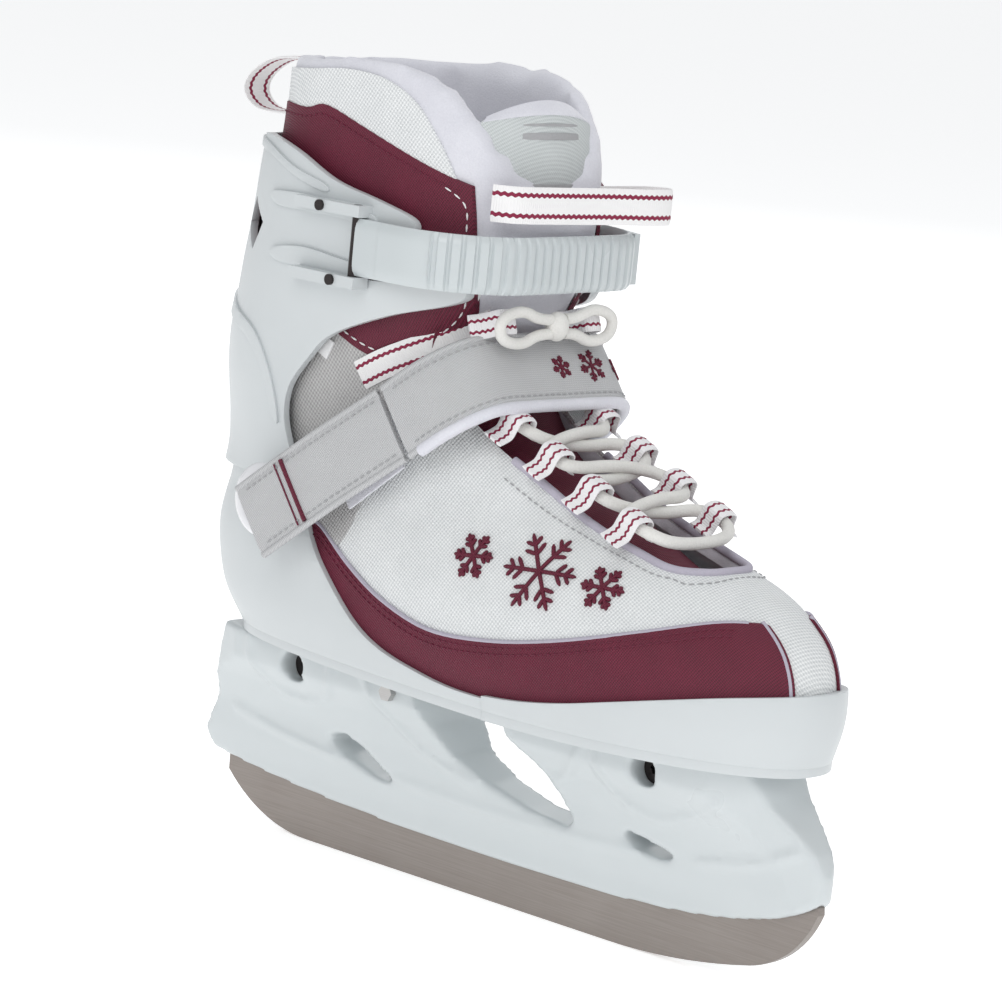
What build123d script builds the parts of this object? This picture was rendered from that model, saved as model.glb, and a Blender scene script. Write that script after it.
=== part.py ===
from build123d import *
import math
import os

# Left skate of a pair. Millimetres: X towards the toe, Y towards the wearer's left (the outer side), Z up.
# The origin is on the running edge of the blade, in the blade's own middle plane.

# ---------------------------------------------------------------- driving dimensions
BLADE_THICKNESS = 3.5
SLOT_CLEARANCE = 0.05

RIDE_HEIGHT = 76.0            # running edge to the underside of the sole plate
SOLE_THICKNESS = 4.0
SOLE_TOP = RIDE_HEIGHT + SOLE_THICKNESS

POD_HALF_WIDTH = 20.0         # half the width of the holder where it meets the sole
BOLT_HOLE_RADIUS = 5.65
BOLT_RADIUS = 3.0
REAR_BOLT_X = -86.0
FRONT_BOLT_X = 84.5
BOLT_DROP = 9.0               # bolt axis below the sole plate

BOOT_WIDTH = 96.0             # outer width of the soft upper at the ball of the foot
SKIN = 1.6                    # woven panels
LINING = 4.4                  # padding of the lower boot
COLLAR_PAD = 8.4              # padding of the collar
SHELL_GAP = 0.3               # upper to heel cup and rand
CUP_WALL = 2.8
CUFF_GAP = 0.5                # heel cup to cuff
CUFF_WALL = 2.8

PIVOT_X = -78.0
PIVOT_RISE = 51.5             # cuff pivot above the sole top
PIVOT_Z = SOLE_TOP + PIVOT_RISE
PIVOT_RADIUS = 4.0
PIVOT_CLEARANCE = 0.08
CUFF_FORWARD = 10.0           # degrees
CUFF_BACK = 2.0
SPLIT_RADIUS = 95.0           # round split between the lower upper and the collar

STRAP_WIDTH = 20.0            # ladder strap
STRAP_THICKNESS = 3.0
STRAP_RISE = 147.0            # its middle above the sole top
STRAP_PIN_X = -41.0
STRAP_PIN_RADIUS = 1.6
TOOTH_PITCH = 4.0
TOOTH_DEPTH = 0.9

INSTEP_WIDTH = 25.0
INSTEP_THICKNESS = 2.4
INSTEP_TILT = 38.0            # degrees below level, towards the heel

LACE_DIAMETER = 4.4
RIBBON_WIDTH = 12.7
RIBBON_THICKNESS = 1.0
REACH = 90.0                  # half depth of a cutter that passes right through the boot

os.makedirs("parts", exist_ok=True)


def save(piece, name):
    """Label one finished piece and write its file."""
    piece.part.label = name
    export_step(piece.part, "parts/" + name + ".step")


# ---------------------------------------------------------------- the shape of the boot
# The boot's outer form is the overlap of three plain views. Heights count from the sole top.
TOP = 212.0                   # rim of the collar above the sole top
SOFT_BASE = 6.0               # foot bed surface above the sole top
REFERENCE_WIDTH = 96.0        # the ball width that the views below are written for
WIDER = BOOT_WIDTH / REFERENCE_WIDTH
# Side view: toe, instep, ankle bend, tongue; then the calf and the heel.
SIDE_VIEW = [(-122, -20), (144, -20), (147, 18), (143, 32), (133, 42), (120, 50), (98, 57.5), (70, 65), (47, 75),
             (26, 84), (6, 93), (-5, 101), (-8, 110), (-5, 122), (4, 144), (7, 170), (6, 250),
             (-117, 250), (-117, 180), (-122, 147), (-129, 104), (-131, 65), (-135, 34), (-132, 14)]
# Front view of the foot: half width against height.
FRONT_VIEW = [(48.5, -20), (48.5, 26), (46, 38), (41.5, 50), (37, 62), (35, 80), (36, 130)]
# Plan views: rear end, front end, half width behind, half width in front, roundness of the corners.
FOOT_PLAN = (-135.0, 147.0, 38.5, 48.0, 0.80)
LEG_PLAN = (-134.0, 8.0, 40.5, 42.0, 0.66)
LEG_BASE = 44.0               # height where the ankle starts
RING_POINTS = 16


def ring(plan, grow):
    """Points of a plan view, grown outwards by grow."""
    rear, front, heel, ball, power = plan
    middle = (rear + front) / 2
    half = (front - rear) / 2 + grow
    points = []
    for k in range(RING_POINTS):
        angle = math.pi + 2 * math.pi * k / RING_POINTS
        c = math.cos(angle)
        s = math.sin(angle)
        u = math.copysign(abs(c) ** power, c)
        forward = min(max((u + 0.8) / 1.3, 0.0), 1.0)
        blend = forward * forward * (3 - 2 * forward)
        side = (heel + (ball - heel) * blend) * WIDER + grow
        points.append((middle + half * u, side * math.copysign(abs(s) ** power, s)))
    return points


def leg_side(grow):
    """Half width of the grown leg part at its widest."""
    return max(LEG_PLAN[2], LEG_PLAN[3]) * WIDER + grow


def boot_solid(grow, low, high):
    """The boot form between two heights, grown outwards by grow."""
    with BuildPart() as form:
        with BuildSketch(Plane.XY.offset(SOLE_TOP + low)) as foot:
            with BuildLine():
                Spline(*ring(FOOT_PLAN, grow), periodic=True)
            make_face()
        extrude(foot.sketch, amount=min(high, 110.0) - low)
        with BuildSketch(Plane.YZ) as front:
            with BuildLine():
                half = [(y * WIDER + grow, SOLE_TOP + height) for y, height in FRONT_VIEW]
                Polyline(*half, *[(-y, z) for y, z in reversed(half)], close=True)
            make_face()
        extrude(front.sketch, amount=2 * REACH, both=True, mode=Mode.INTERSECT)
        with BuildSketch(Plane.XY.offset(SOLE_TOP + max(low, LEG_BASE))) as leg:
            with BuildLine():
                Spline(*ring(LEG_PLAN, grow), periodic=True)
            make_face()
        extrude(leg.sketch, amount=high - max(low, LEG_BASE))
        with BuildSketch(Plane.XZ) as side:
            with BuildLine():
                Polyline(*[(x, SOLE_TOP + height) for x, height in SIDE_VIEW], close=True)
            make_face()
            if grow:
                offset(amount=grow, kind=Kind.INTERSECTION)
        extrude(side.sketch, amount=REACH, both=True, mode=Mode.INTERSECT)
    return form.part


outer_form = boot_solid(0.0, 0.0, TOP)
under_skin = boot_solid(-SKIN, 0.0, TOP)
inner_form = boot_solid(-SKIN - LINING, 0.0, TOP)
leg_form = boot_solid(-SKIN - COLLAR_PAD, 0.0, TOP)
cup_outer = boot_solid(SHELL_GAP + CUP_WALL, -1.0, 64.0)
cup_inner = boot_solid(SHELL_GAP, -1.0, 64.0)
CUFF_INNER = SHELL_GAP + CUP_WALL + CUFF_GAP
CUFF_OUTER = CUFF_INNER + CUFF_WALL
cuff_outer = boot_solid(CUFF_OUTER, 30.0, 190.0)
cuff_inner = boot_solid(CUFF_INNER, 30.0, 190.0)


def polar(radius, degrees):
    """A point of the side view at a distance and an angle from the cuff pivot."""
    turn = math.radians(degrees)
    return (PIVOT_X + radius * math.cos(turn), PIVOT_Z + radius * math.sin(turn))


def up(points):
    """Side-view points with their heights counted from the sole top."""
    return [(x, SOLE_TOP + height) for x, height in points]


FAR = 320.0
FRONT_RAY = 41.0              # degrees above level: the lower end of the collar at the front
REST_GAP = 0.6

# Side view of everything soft that stays with the sole.
with BuildSketch(Plane.XZ) as lower_region:
    with BuildLine():
        a = polar(SPLIT_RADIUS, 75.0)
        b = polar(SPLIT_RADIUS, 58.0)
        c = polar(SPLIT_RADIUS, FRONT_RAY)
        Line(polar(0, 0), a)
        ThreePointArc(a, b, c)
        Polyline(c, polar(FAR, FRONT_RAY), (FAR, 0), (-FAR, 0), (-FAR, PIVOT_Z - 1), polar(0, 0))
    make_face()

# Side view of everything soft that tilts with the cuff.
with BuildSketch(Plane.XZ) as collar_region:
    with BuildLine():
        a = polar(SPLIT_RADIUS + REST_GAP, 75.0 + CUFF_FORWARD + 1.5)
        b = polar(SPLIT_RADIUS + REST_GAP, 60.0)
        c = polar(SPLIT_RADIUS + REST_GAP, FRONT_RAY)
        start = (PIVOT_X, PIVOT_Z + 1.5)
        Line(start, a)
        ThreePointArc(a, b, c)
        Polyline(c, polar(FAR, FRONT_RAY), polar(2 * FAR, 90.0), polar(2 * FAR, 150.0),
                 polar(FAR, 180.0 - CUFF_BACK - 1.5), start)
    make_face()


# ---------------------------------------------------------------- blade
BLADE_REAR_X = -88.0          # ends of the level running edge
BLADE_FRONT_X = 62.0
BLADE_TOP_RISE = 8.0
RAIL_LINE = [(-131.9, 23.3), (-89.4, 18.9), (-49.0, 16.8), (-10.0, 15.8), (47.0, 16.1),
             (98.0, 19.0), (123.0, 23.0), (141.0, 28.4), (151.6, 33.7)]
BLADE_TOP = [(144.0, 33.7 + BLADE_TOP_RISE), (98.0, 19.0 + BLADE_TOP_RISE), (47.0, 16.1 + BLADE_TOP_RISE),
             (-49.0, 16.8 + BLADE_TOP_RISE), (-127.0, 23.3 + BLADE_TOP_RISE)]

with BuildSketch(Plane.XZ) as blade_side:
    with BuildLine():
        base = Line((BLADE_REAR_X, 0), (BLADE_FRONT_X, 0))
        rocker = TangentArc(base @ 1, (125.3, 7.5), tangent=(1, 0))
        nose = TangentArc(rocker @ 1, (151.9, 31.2), tangent=rocker % 1)
        heel = TangentArc(base @ 0, (-131.8, 17.1), tangent=(-1, 0))
        Polyline(nose @ 1, (151.6, 33.7), *BLADE_TOP, (-131.9, 23.3), heel @ 1)
    make_face()

with BuildPart() as blade:
    extrude(blade_side.sketch, amount=BLADE_THICKNESS / 2, both=True)
save(blade, "blade")

# ---------------------------------------------------------------- blade holder
SCREW_RADIUS = 2.2            # screws from inside the boot down into the holder
SCREW_LENGTH = 11.0           # their length in the holder
MOUNT_SCREWS = [(-100.0, 9.0), (-100.0, -9.0), (-50.0, 10.0), (-50.0, -10.0),
                (52.0, 10.0), (52.0, -10.0), (108.0, 10.0), (108.0, -10.0)]
HOLE_Z = RIDE_HEIGHT - BOLT_DROP
REAR_OUTLINE = [(-133.5, 46.4), (-131.0, 58.4), (-127.0, RIDE_HEIGHT)]
WINDOW = [(-27.0, RIDE_HEIGHT + 1), (-20.0, 60.0), (-11.0, 50.5), (5.0, 43.5), (24.0, 38.6), (44.0, 36.6),
          (46.5, 39.5), (36.0, 53.0), (22.0, 64.0), (14.0, RIDE_HEIGHT + 1)]
REAR_SLOT = [(-76.0, 43.0), (-66.0, 45.5), (-57.0, 42.0), (-38.0, 31.5), (-52.0, 32.5), (-68.0, 37.5)]
FRONT_SLOT = [(66.0, 42.5), (78.0, 41.0), (99.0, 37.2), (86.0, 35.2), (75.0, 36.2)]

with BuildPart() as blade_holder:
    with BuildSketch(Plane.XZ):
        with BuildLine():
            lower = Spline(*RAIL_LINE)
            Polyline(lower @ 1, (153.0, 37.0), (154.0, 44.0), (150.6, 51.6), (143.3, 58.3), (133.5, 66.3),
                     (126.0, RIDE_HEIGHT), REAR_OUTLINE[2], REAR_OUTLINE[1], REAR_OUTLINE[0],
                     (-142.0, 31.0), (-138.5, 24.5), lower @ 0)
        make_face()
        for opening in (WINDOW, REAR_SLOT, FRONT_SLOT):
            with BuildLine():
                Polyline(*opening, close=True)
            make_face(mode=Mode.SUBTRACT)
    extrude(amount=POD_HALF_WIDTH + 1, both=True)
    with BuildSketch(Plane.YZ):
        with BuildLine():
            half = [(3.9, 10.0), (4.6, 24.0), (7.5, 34.0), (9.5, 46.0), (14.0, 57.0),
                    (POD_HALF_WIDTH, 65.0), (POD_HALF_WIDTH, RIDE_HEIGHT)]
            Polyline(*half, *[(-y, z) for y, z in reversed(half)], close=True)
        make_face()
    extrude(amount=170.0, both=True, mode=Mode.INTERSECT)
    # the rail narrows to a keel at the nose and at the heel
    with BuildSketch(Plane.XY):
        with BuildLine():
            plan = [(155.0, 0.0), (152.0, 4.5), (125.0, 15.0), (112.0, 20.5), (-114.0, 20.5), (-130.0, 14.0), (-143.0, 5.5)]
            Polyline(*plan, *[(x, -y) for x, y in reversed(plan[1:])], close=True)
        make_face()
    extrude(amount=RIDE_HEIGHT + 5, mode=Mode.INTERSECT)
    extrude(blade_side.sketch, amount=BLADE_THICKNESS / 2 + SLOT_CLEARANCE, both=True, mode=Mode.SUBTRACT)
    for x in (REAR_BOLT_X, FRONT_BOLT_X):
        for side in (1, -1):
            with Locations(Location((x, side * (POD_HALF_WIDTH + 1), HOLE_Z), (90 * side, 0, 0))):
                Cylinder(BOLT_HOLE_RADIUS, 13.0, align=(Align.CENTER, Align.CENTER, Align.MIN),
                         mode=Mode.SUBTRACT)
        with Locations(Location((x, 0, HOLE_Z), (90, 0, 0))):
            Cylinder(BOLT_RADIUS, 3 * POD_HALF_WIDTH, mode=Mode.SUBTRACT)
    with Locations(*[(x, y, RIDE_HEIGHT) for x, y in MOUNT_SCREWS]):
        Cylinder(SCREW_RADIUS, 2 * SCREW_LENGTH + 2, mode=Mode.SUBTRACT)
save(blade_holder, "blade_holder")

BOLT_REACH = POD_HALF_WIDTH - 12.0    # half length of the shank between the two recess floors

with BuildPart() as holder_bolts:
    for x in (REAR_BOLT_X, FRONT_BOLT_X):
        with Locations(Location((x, 0, HOLE_Z), (90, 0, 0))):
            Cylinder(BOLT_RADIUS - 0.05, 2 * BOLT_REACH)
        with Locations(Location((x, -BOLT_REACH, HOLE_Z), (90, 0, 0))):
            Cylinder(BOLT_HOLE_RADIUS - 0.4, 4.0, align=(Align.CENTER, Align.CENTER, Align.MIN))
        with Locations(Location((x, -BOLT_REACH - 4.0, HOLE_Z), (90, 0, 0))):
            with BuildSketch(Plane((x, -BOLT_REACH - 4.0, HOLE_Z), x_dir=(1, 0, 0), z_dir=(0, -1, 0))):
                RegularPolygon(2.4, 6)
            extrude(amount=-2.5, mode=Mode.SUBTRACT)
save(holder_bolts, "holder_bolts")

with BuildPart() as holder_nuts:
    for x in (REAR_BOLT_X, FRONT_BOLT_X):
        with Locations(Location((x, BOLT_REACH, HOLE_Z), (-90, 0, 0))):
            Cylinder(BOLT_HOLE_RADIUS - 0.4, 4.0, align=(Align.CENTER, Align.CENTER, Align.MIN))
save(holder_nuts, "holder_nuts")

with BuildPart() as pillar_screws:
    for side in (1, -1):
        with BuildSketch(Plane((-35.0, side * POD_HALF_WIDTH, HOLE_Z + 1.5), x_dir=(1, 0, 0), z_dir=(0, side, 0))):
            RegularPolygon(3.2, 6)
        extrude(amount=2.5)
save(pillar_screws, "pillar_screws")

# ---------------------------------------------------------------- sole, heel cup and rand
CUP_SIDE = up([(-160, -1.0), (30, -1.0), (30, 3.0), (17, 3.2), (0, 5.5), (-20, 9.5), (-36, 17.0), (-53, 31.0),
               (-64, 43.0), (-66.5, 49.0), (-66.0, 57.0), (-72.0, 63.0), (-85.0, 64.0), (-94.0, 60.0),
               (-160, 58.0)])

with BuildPart() as heel_cup:
    add(cup_outer)
    add(cup_inner, mode=Mode.SUBTRACT, clean=False)
    with BuildSketch(Plane.XZ):
        with BuildLine():
            Polyline(*CUP_SIDE, close=True)
        make_face()
    extrude(amount=REACH, both=True, mode=Mode.INTERSECT)
    with Locations(Location((PIVOT_X, 0, PIVOT_Z), (90, 0, 0))):
        Cylinder(PIVOT_RADIUS, 2 * REACH, mode=Mode.SUBTRACT)
    with BuildSketch(Plane.XY.offset(SOLE_TOP)):
        with BuildLine():
            Spline(*ring(FOOT_PLAN, SHELL_GAP + CUP_WALL), periodic=True)
        make_face()
    extrude(amount=-SOLE_THICKNESS)
    with Locations(*[(x, y, RIDE_HEIGHT) for x, y in MOUNT_SCREWS]):
        Cylinder(SCREW_RADIUS, 3 * SOLE_THICKNESS, mode=Mode.SUBTRACT)
save(heel_cup, "heel_cup_sole")

RAND_SIDE = up([(30.4, 0.0), (30.4, 4.0), (50, 6.0), (85, 13.0), (120, 19.0), (135, 23.0), (160, 27.0), (160, 0.0)])
with BuildPart() as toe_rand:
    add(cup_outer)
    add(cup_inner, mode=Mode.SUBTRACT, clean=False)
    with BuildSketch(Plane.XZ):
        with BuildLine():
            Polyline(*RAND_SIDE, close=True)
        make_face()
    extrude(amount=REACH, both=True, mode=Mode.INTERSECT)
save(toe_rand, "toe_rand")

with BuildPart() as sole_screws:
    with Locations(*[(x, y, SOLE_TOP) for x, y in MOUNT_SCREWS]):
        Cylinder(SCREW_RADIUS - 0.05, SOLE_THICKNESS + SCREW_LENGTH, align=(Align.CENTER, Align.CENTER, Align.MAX))
        Cylinder(2 * SCREW_RADIUS, 1.8, align=(Align.CENTER, Align.CENTER, Align.MIN))
save(sole_screws, "sole_screws")

BOARD = 2.0                   # lasting board
with BuildPart() as lasting_board:
    with BuildSketch(Plane.XY.offset(SOLE_TOP)):
        with BuildLine():
            Spline(*ring(FOOT_PLAN, -SKIN - LINING - 8.0), periodic=True)
        make_face()
    extrude(amount=BOARD)
    with Locations(*[(x, y, SOLE_TOP) for x, y in MOUNT_SCREWS]):
        Cylinder(2 * SCREW_RADIUS + 0.3, 3 * BOARD, mode=Mode.SUBTRACT)
save(lasting_board, "lasting_board")

with BuildPart() as foot_bed:
    with BuildSketch(Plane.XY.offset(SOLE_TOP + BOARD)):
        with BuildLine():
            Spline(*ring(FOOT_PLAN, -SKIN - LINING - 8.0), periodic=True)
        make_face()
    extrude(amount=SOFT_BASE - BOARD)
save(foot_bed, "foot_bed")

# ---------------------------------------------------------------- soft lower boot
THROAT_HALF = 25.0            # half width of the lace opening
THROAT_END_X = 84.0
THROAT_REAR_X = -55.0

SIDE_PANEL = up([(-75, -5), (-75, 43), (-58, 43), (-43, 34.5), (-22, 26.0), (4, 21.0), (32, 23.5), (60, 31.5),
                 (92, 43.5), (112, 49.0), (128, 47.5), (139, 40.0), (148, 27.0), (160, 10), (160, -5)])
QUARTER_FRONT = up([(-180, 0), (-32, 0), (-32, 75), (-12, 115), (-12, 260), (-180, 260)])


def cut_to(region, amount=REACH, both=True):
    """Keep only what lies inside a side-view region, on both sides of the boot or on one."""
    with BuildSketch(Plane.XZ) as keep:
        with BuildLine():
            Polyline(*region, close=True)
        make_face()
    extrude(keep.sketch, amount=amount, both=both, mode=Mode.INTERSECT, clean=False)


def cut_away(region):
    """Remove what lies inside a side-view region."""
    with BuildSketch(Plane.XZ) as waste:
        with BuildLine():
            Polyline(*region, close=True)
        make_face()
    extrude(waste.sketch, amount=REACH, both=True, mode=Mode.SUBTRACT, clean=False)


def throat(half_width, mode):
    """The lace opening, cut through the instep and up the front of the leg."""
    with Locations((THROAT_REAR_X, 0, SOLE_TOP + 22)):
        Box(THROAT_END_X - THROAT_REAR_X, 2 * half_width, 2 * TOP, mode=mode,
            align=(Align.MIN, Align.CENTER, Align.MIN))


with BuildPart() as lower_skin:
    add(outer_form)
    add(under_skin, mode=Mode.SUBTRACT, clean=False)
    extrude(lower_region.sketch, amount=REACH, both=True, mode=Mode.INTERSECT, clean=False)
    throat(THROAT_HALF, Mode.SUBTRACT)

for name, reach in (("side_panel_medial", REACH), ("side_panel_lateral", -REACH)):
    with BuildPart() as side_panel:
        add(lower_skin.part)
        cut_to(SIDE_PANEL, amount=reach, both=False)
    save(side_panel, name)

for name, reach in (("quarter_medial", REACH), ("quarter_lateral", -REACH)):
    with BuildPart() as quarter:
        add(lower_skin.part)
        cut_away(SIDE_PANEL)
        cut_to(QUARTER_FRONT, amount=reach, both=False)
    save(quarter, name)

with BuildPart() as vamp:
    add(lower_skin.part)
    cut_away(SIDE_PANEL)
    cut_away(QUARTER_FRONT)
save(vamp, "vamp")

with BuildPart() as lower_lining:
    add(under_skin)
    add(inner_form, mode=Mode.SUBTRACT, clean=False)
    extrude(lower_region.sketch, amount=REACH, both=True, mode=Mode.INTERSECT, clean=False)
    throat(THROAT_HALF, Mode.SUBTRACT)
save(lower_lining, "lower_lining")

TONGUE_GAP = 0.3
with BuildPart() as tongue_lower:
    add(under_skin)
    add(inner_form, mode=Mode.SUBTRACT, clean=False)
    extrude(lower_region.sketch, amount=REACH, both=True, mode=Mode.INTERSECT, clean=False)
    throat(THROAT_HALF - TONGUE_GAP, Mode.INTERSECT)
save(tongue_lower, "tongue_lower")

# ---------------------------------------------------------------- soft collar, which tilts with the cuff
COLLAR_RIM = up([(-180, 196), (-122, 203), (-100, 207), (-80, 209.5), (-60, 211.5), (-41, 211), (-26, 204),
                 (-8, 182), (30, 158), (30, 40), (-180, 40)])

with BuildPart() as collar_padding:
    add(under_skin)
    add(leg_form, mode=Mode.SUBTRACT, clean=False)
    extrude(collar_region.sketch, amount=REACH, both=True, mode=Mode.INTERSECT, clean=False)
    cut_to(COLLAR_RIM)
    throat(THROAT_HALF + 3, Mode.SUBTRACT)
save(collar_padding, "collar_padding")

COLLAR_PANEL = up([(-100, 187), (-82, 190), (-72, 191), (-51, 186), (-26, 179), (-8, 171), (10, 165), (10, 110),
                   (-120, 110), (-120, 187)])
with BuildPart() as collar_skin:
    add(outer_form)
    add(under_skin, mode=Mode.SUBTRACT, clean=False)
    extrude(collar_region.sketch, amount=REACH, both=True, mode=Mode.INTERSECT, clean=False)
    cut_to(COLLAR_RIM)
    throat(THROAT_HALF + 3, Mode.SUBTRACT)

for name, reach in (("collar_panel_medial", REACH), ("collar_panel_lateral", -REACH)):
    with BuildPart() as collar_panel:
        add(collar_skin.part)
        cut_to(COLLAR_PANEL, amount=reach, both=False)
    save(collar_panel, name)

with BuildPart() as collar_mesh:
    add(collar_skin.part)
    cut_away(COLLAR_PANEL)
save(collar_mesh, "collar_mesh")

TONGUE_TOP = up([(-60, 0), (-60, 190), (-20, 199), (30, 196), (30, 0)])
with BuildPart() as tongue_upper:
    add(under_skin)
    add(leg_form, mode=Mode.SUBTRACT, clean=False)
    extrude(collar_region.sketch, amount=REACH, both=True, mode=Mode.INTERSECT, clean=False)
    cut_to(TONGUE_TOP)
    throat(THROAT_HALF + 3 - TONGUE_GAP, Mode.INTERSECT)
save(tongue_upper, "tongue_upper")

# ---------------------------------------------------------------- cuff and its pivots
CUFF_SIDE = up([(-160, 66), (-92, 66), (-88, 58), (-85, LEG_BASE + 0.5), (-70, LEG_BASE + 0.5),
                (-67, 56), (-77, 74), (-78, 90), (-72, 101), (-55, 114), (-31, 124), (-8, 131), (-3, 135.5), (-5, 138), (-40, 136.4), (-40, 155.6),
                (-20, 153.5), (-18, 156), (-21, 160), (-36, 164), (-57, 168), (-78, 176), (-100, 178),
                (-160, 176)])
REAR_WINDOW = up([(-106, 155), (-96, 148), (-102, 138), (-112, 146)])

with BuildPart() as cuff:
    add(cuff_outer)
    add(cuff_inner, mode=Mode.SUBTRACT, clean=False)
    cut_to(CUFF_SIDE)
    cut_away(REAR_WINDOW)
    with Locations(Location((PIVOT_X, 0, PIVOT_Z), (90, 0, 0))):
        Cylinder(PIVOT_RADIUS + PIVOT_CLEARANCE, 2 * REACH, mode=Mode.SUBTRACT)
save(cuff, "cuff")

PIVOT_SIDE = leg_side(CUFF_OUTER)      # outer face of the cuff at the pivot
PIVOT_INSIDE = leg_side(0.0)
RIVET_ROOT = 4.0              # reaches past the curved skin, then is trimmed to it
CAP_RADIUS = 13.5
CAP_THICKNESS = 1.8

with BuildPart() as pivot_rivets:
    for side in (1, -1):
        plane = Plane((PIVOT_X, side * (PIVOT_INSIDE - RIVET_ROOT), PIVOT_Z), x_dir=(1, 0, 0), z_dir=(0, side, 0))
        with BuildSketch(plane):
            Circle(PIVOT_RADIUS)
        extrude(amount=PIVOT_SIDE + 0.6 - PIVOT_INSIDE + RIVET_ROOT)
    add(cup_inner, mode=Mode.SUBTRACT)
save(pivot_rivets, "pivot_rivets")

with BuildPart() as pivot_caps:
    for side in (1, -1):
        plane = Plane((PIVOT_X, side * (PIVOT_SIDE + 0.6), PIVOT_Z), x_dir=(1, 0, 0), z_dir=(0, side, 0))
        with BuildSketch(plane):
            Circle(CAP_RADIUS)
        extrude(amount=CAP_THICKNESS, taper=20)
save(pivot_caps, "pivot_caps")

# ---------------------------------------------------------------- ladder strap
STRAP_Z = SOLE_TOP + STRAP_RISE
KNUCKLE_RADIUS = 2.9
SIDE = leg_side(CUFF_OUTER) + KNUCKLE_RADIUS + 0.35
STRAP_LOW = STRAP_Z - STRAP_WIDTH / 2
CORNER_RADIUS = 30.0
FRONT_BEND = 94.0             # degrees
OUTER_RADIUS = 21.8
STRAP_TAIL = 26.0             # degrees of the strap's end that lie round the hinge pin's own circle
BUCKLE_OUT = leg_side(CUFF_OUTER) + 0.3
FLOOR = 1.2
BUCKLE_FRONT = -22.0          # front edge of the buckle's floor
# the tail has to clear the front edge of the buckle's floor
TAIL_RADIUS = math.hypot(BUCKLE_FRONT - STRAP_PIN_X, SIDE + BUCKLE_OUT + FLOOR + STRAP_THICKNESS / 2 + 0.3)
hinge = Vector(STRAP_PIN_X, -SIDE)

with BuildSketch(Plane.XY.offset(STRAP_LOW)) as strap_plan:
    with BuildLine():
        shoulder = Line((STRAP_PIN_X, -SIDE), (-20, -SIDE))
        inner_bend = JernArc(shoulder @ 1, (1, 0), CORNER_RADIUS, FRONT_BEND)
        # the front runs straight until the outer bend touches both it and the tail's circle
        ahead = inner_bend % 1
        start = inner_bend @ 1 + Vector(-ahead.Y, ahead.X) * OUTER_RADIUS - hinge
        along = start.dot(ahead)
        run = math.sqrt(along ** 2 - start.dot(start) + (TAIL_RADIUS - OUTER_RADIUS) ** 2) - along
        front = Line(inner_bend @ 1, inner_bend @ 1 + ahead * run)
        centre = start + ahead * run
        TAIL_ANGLE = math.degrees(math.atan2(centre.Y, centre.X))
        outer_bend = JernArc(front @ 1, ahead, OUTER_RADIUS, TAIL_ANGLE + 90 - FRONT_BEND)
        JernArc(outer_bend @ 1, outer_bend % 1, TAIL_RADIUS, STRAP_TAIL)
        offset(amount=STRAP_THICKNESS / 2, side=Side.BOTH)
    make_face()

TEETH = int(math.radians(STRAP_TAIL) * TAIL_RADIUS / TOOTH_PITCH)

with BuildPart() as ladder_strap:
    extrude(strap_plan.sketch, amount=STRAP_WIDTH)
    with Locations((STRAP_PIN_X, -SIDE, STRAP_LOW)):
        Cylinder(KNUCKLE_RADIUS, STRAP_WIDTH, align=(Align.CENTER, Align.CENTER, Align.MIN))
        Cylinder(STRAP_PIN_RADIUS + 0.06, STRAP_WIDTH, align=(Align.CENTER, Align.CENTER, Align.MIN),
                 mode=Mode.SUBTRACT)
    # ratchet teeth: shallow grooves across the outer face
    for k in range(TEETH):
        turn = math.radians(TAIL_ANGLE) + (k + 0.5) * TOOTH_PITCH / TAIL_RADIUS
        reach = TAIL_RADIUS + STRAP_THICKNESS / 2
        with Locations(Location((STRAP_PIN_X + reach * math.cos(turn), -SIDE + reach * math.sin(turn),
                                 STRAP_LOW), (0, 0, math.degrees(turn)))):
            Box(2 * TOOTH_DEPTH, TOOTH_PITCH * 0.45, STRAP_WIDTH, align=(Align.CENTER, Align.CENTER, Align.MIN),
                mode=Mode.SUBTRACT)
save(ladder_strap, "ladder_strap")

# Two lugs on the cuff hold the strap's hinge pin.
LUG = 4.0
LUG_GAP = 0.4
LUG_DEPTH = 11.0              # before trimming to the cuff
with BuildPart() as strap_lugs:
    for low in (STRAP_LOW - LUG_GAP - LUG, STRAP_LOW + STRAP_WIDTH + LUG_GAP):
        with Locations((STRAP_PIN_X - 12, -SIDE - 3.5, low)):
            Box(32, LUG_DEPTH, LUG, align=(Align.CENTER, Align.MIN, Align.MIN))
        with Locations((STRAP_PIN_X, -SIDE, low)):
            Cylinder(STRAP_PIN_RADIUS, LUG, align=(Align.CENTER, Align.CENTER, Align.MIN), mode=Mode.SUBTRACT)
    add(cuff_outer, mode=Mode.SUBTRACT)
save(strap_lugs, "strap_lugs")

with BuildPart() as strap_pin:
    with Locations((STRAP_PIN_X, -SIDE, STRAP_LOW - LUG_GAP - LUG)):
        Cylinder(STRAP_PIN_RADIUS, STRAP_WIDTH + 2 * LUG + 2 * LUG_GAP, align=(Align.CENTER, Align.CENTER, Align.MIN))
save(strap_pin, "strap_hinge_pin")

with BuildPart() as strap_screws:
    for x, z in ((-58.0, STRAP_LOW + STRAP_WIDTH + LUG_GAP + LUG / 2), (-50.0, STRAP_LOW - LUG_GAP - LUG / 2)):
        with BuildSketch(Plane((x + 2, -SIDE - 3.5, z), x_dir=(1, 0, 0), z_dir=(0, -1, 0))):
            Circle(1.9)
        extrude(amount=1.0)
save(strap_screws, "strap_screws")

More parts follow.
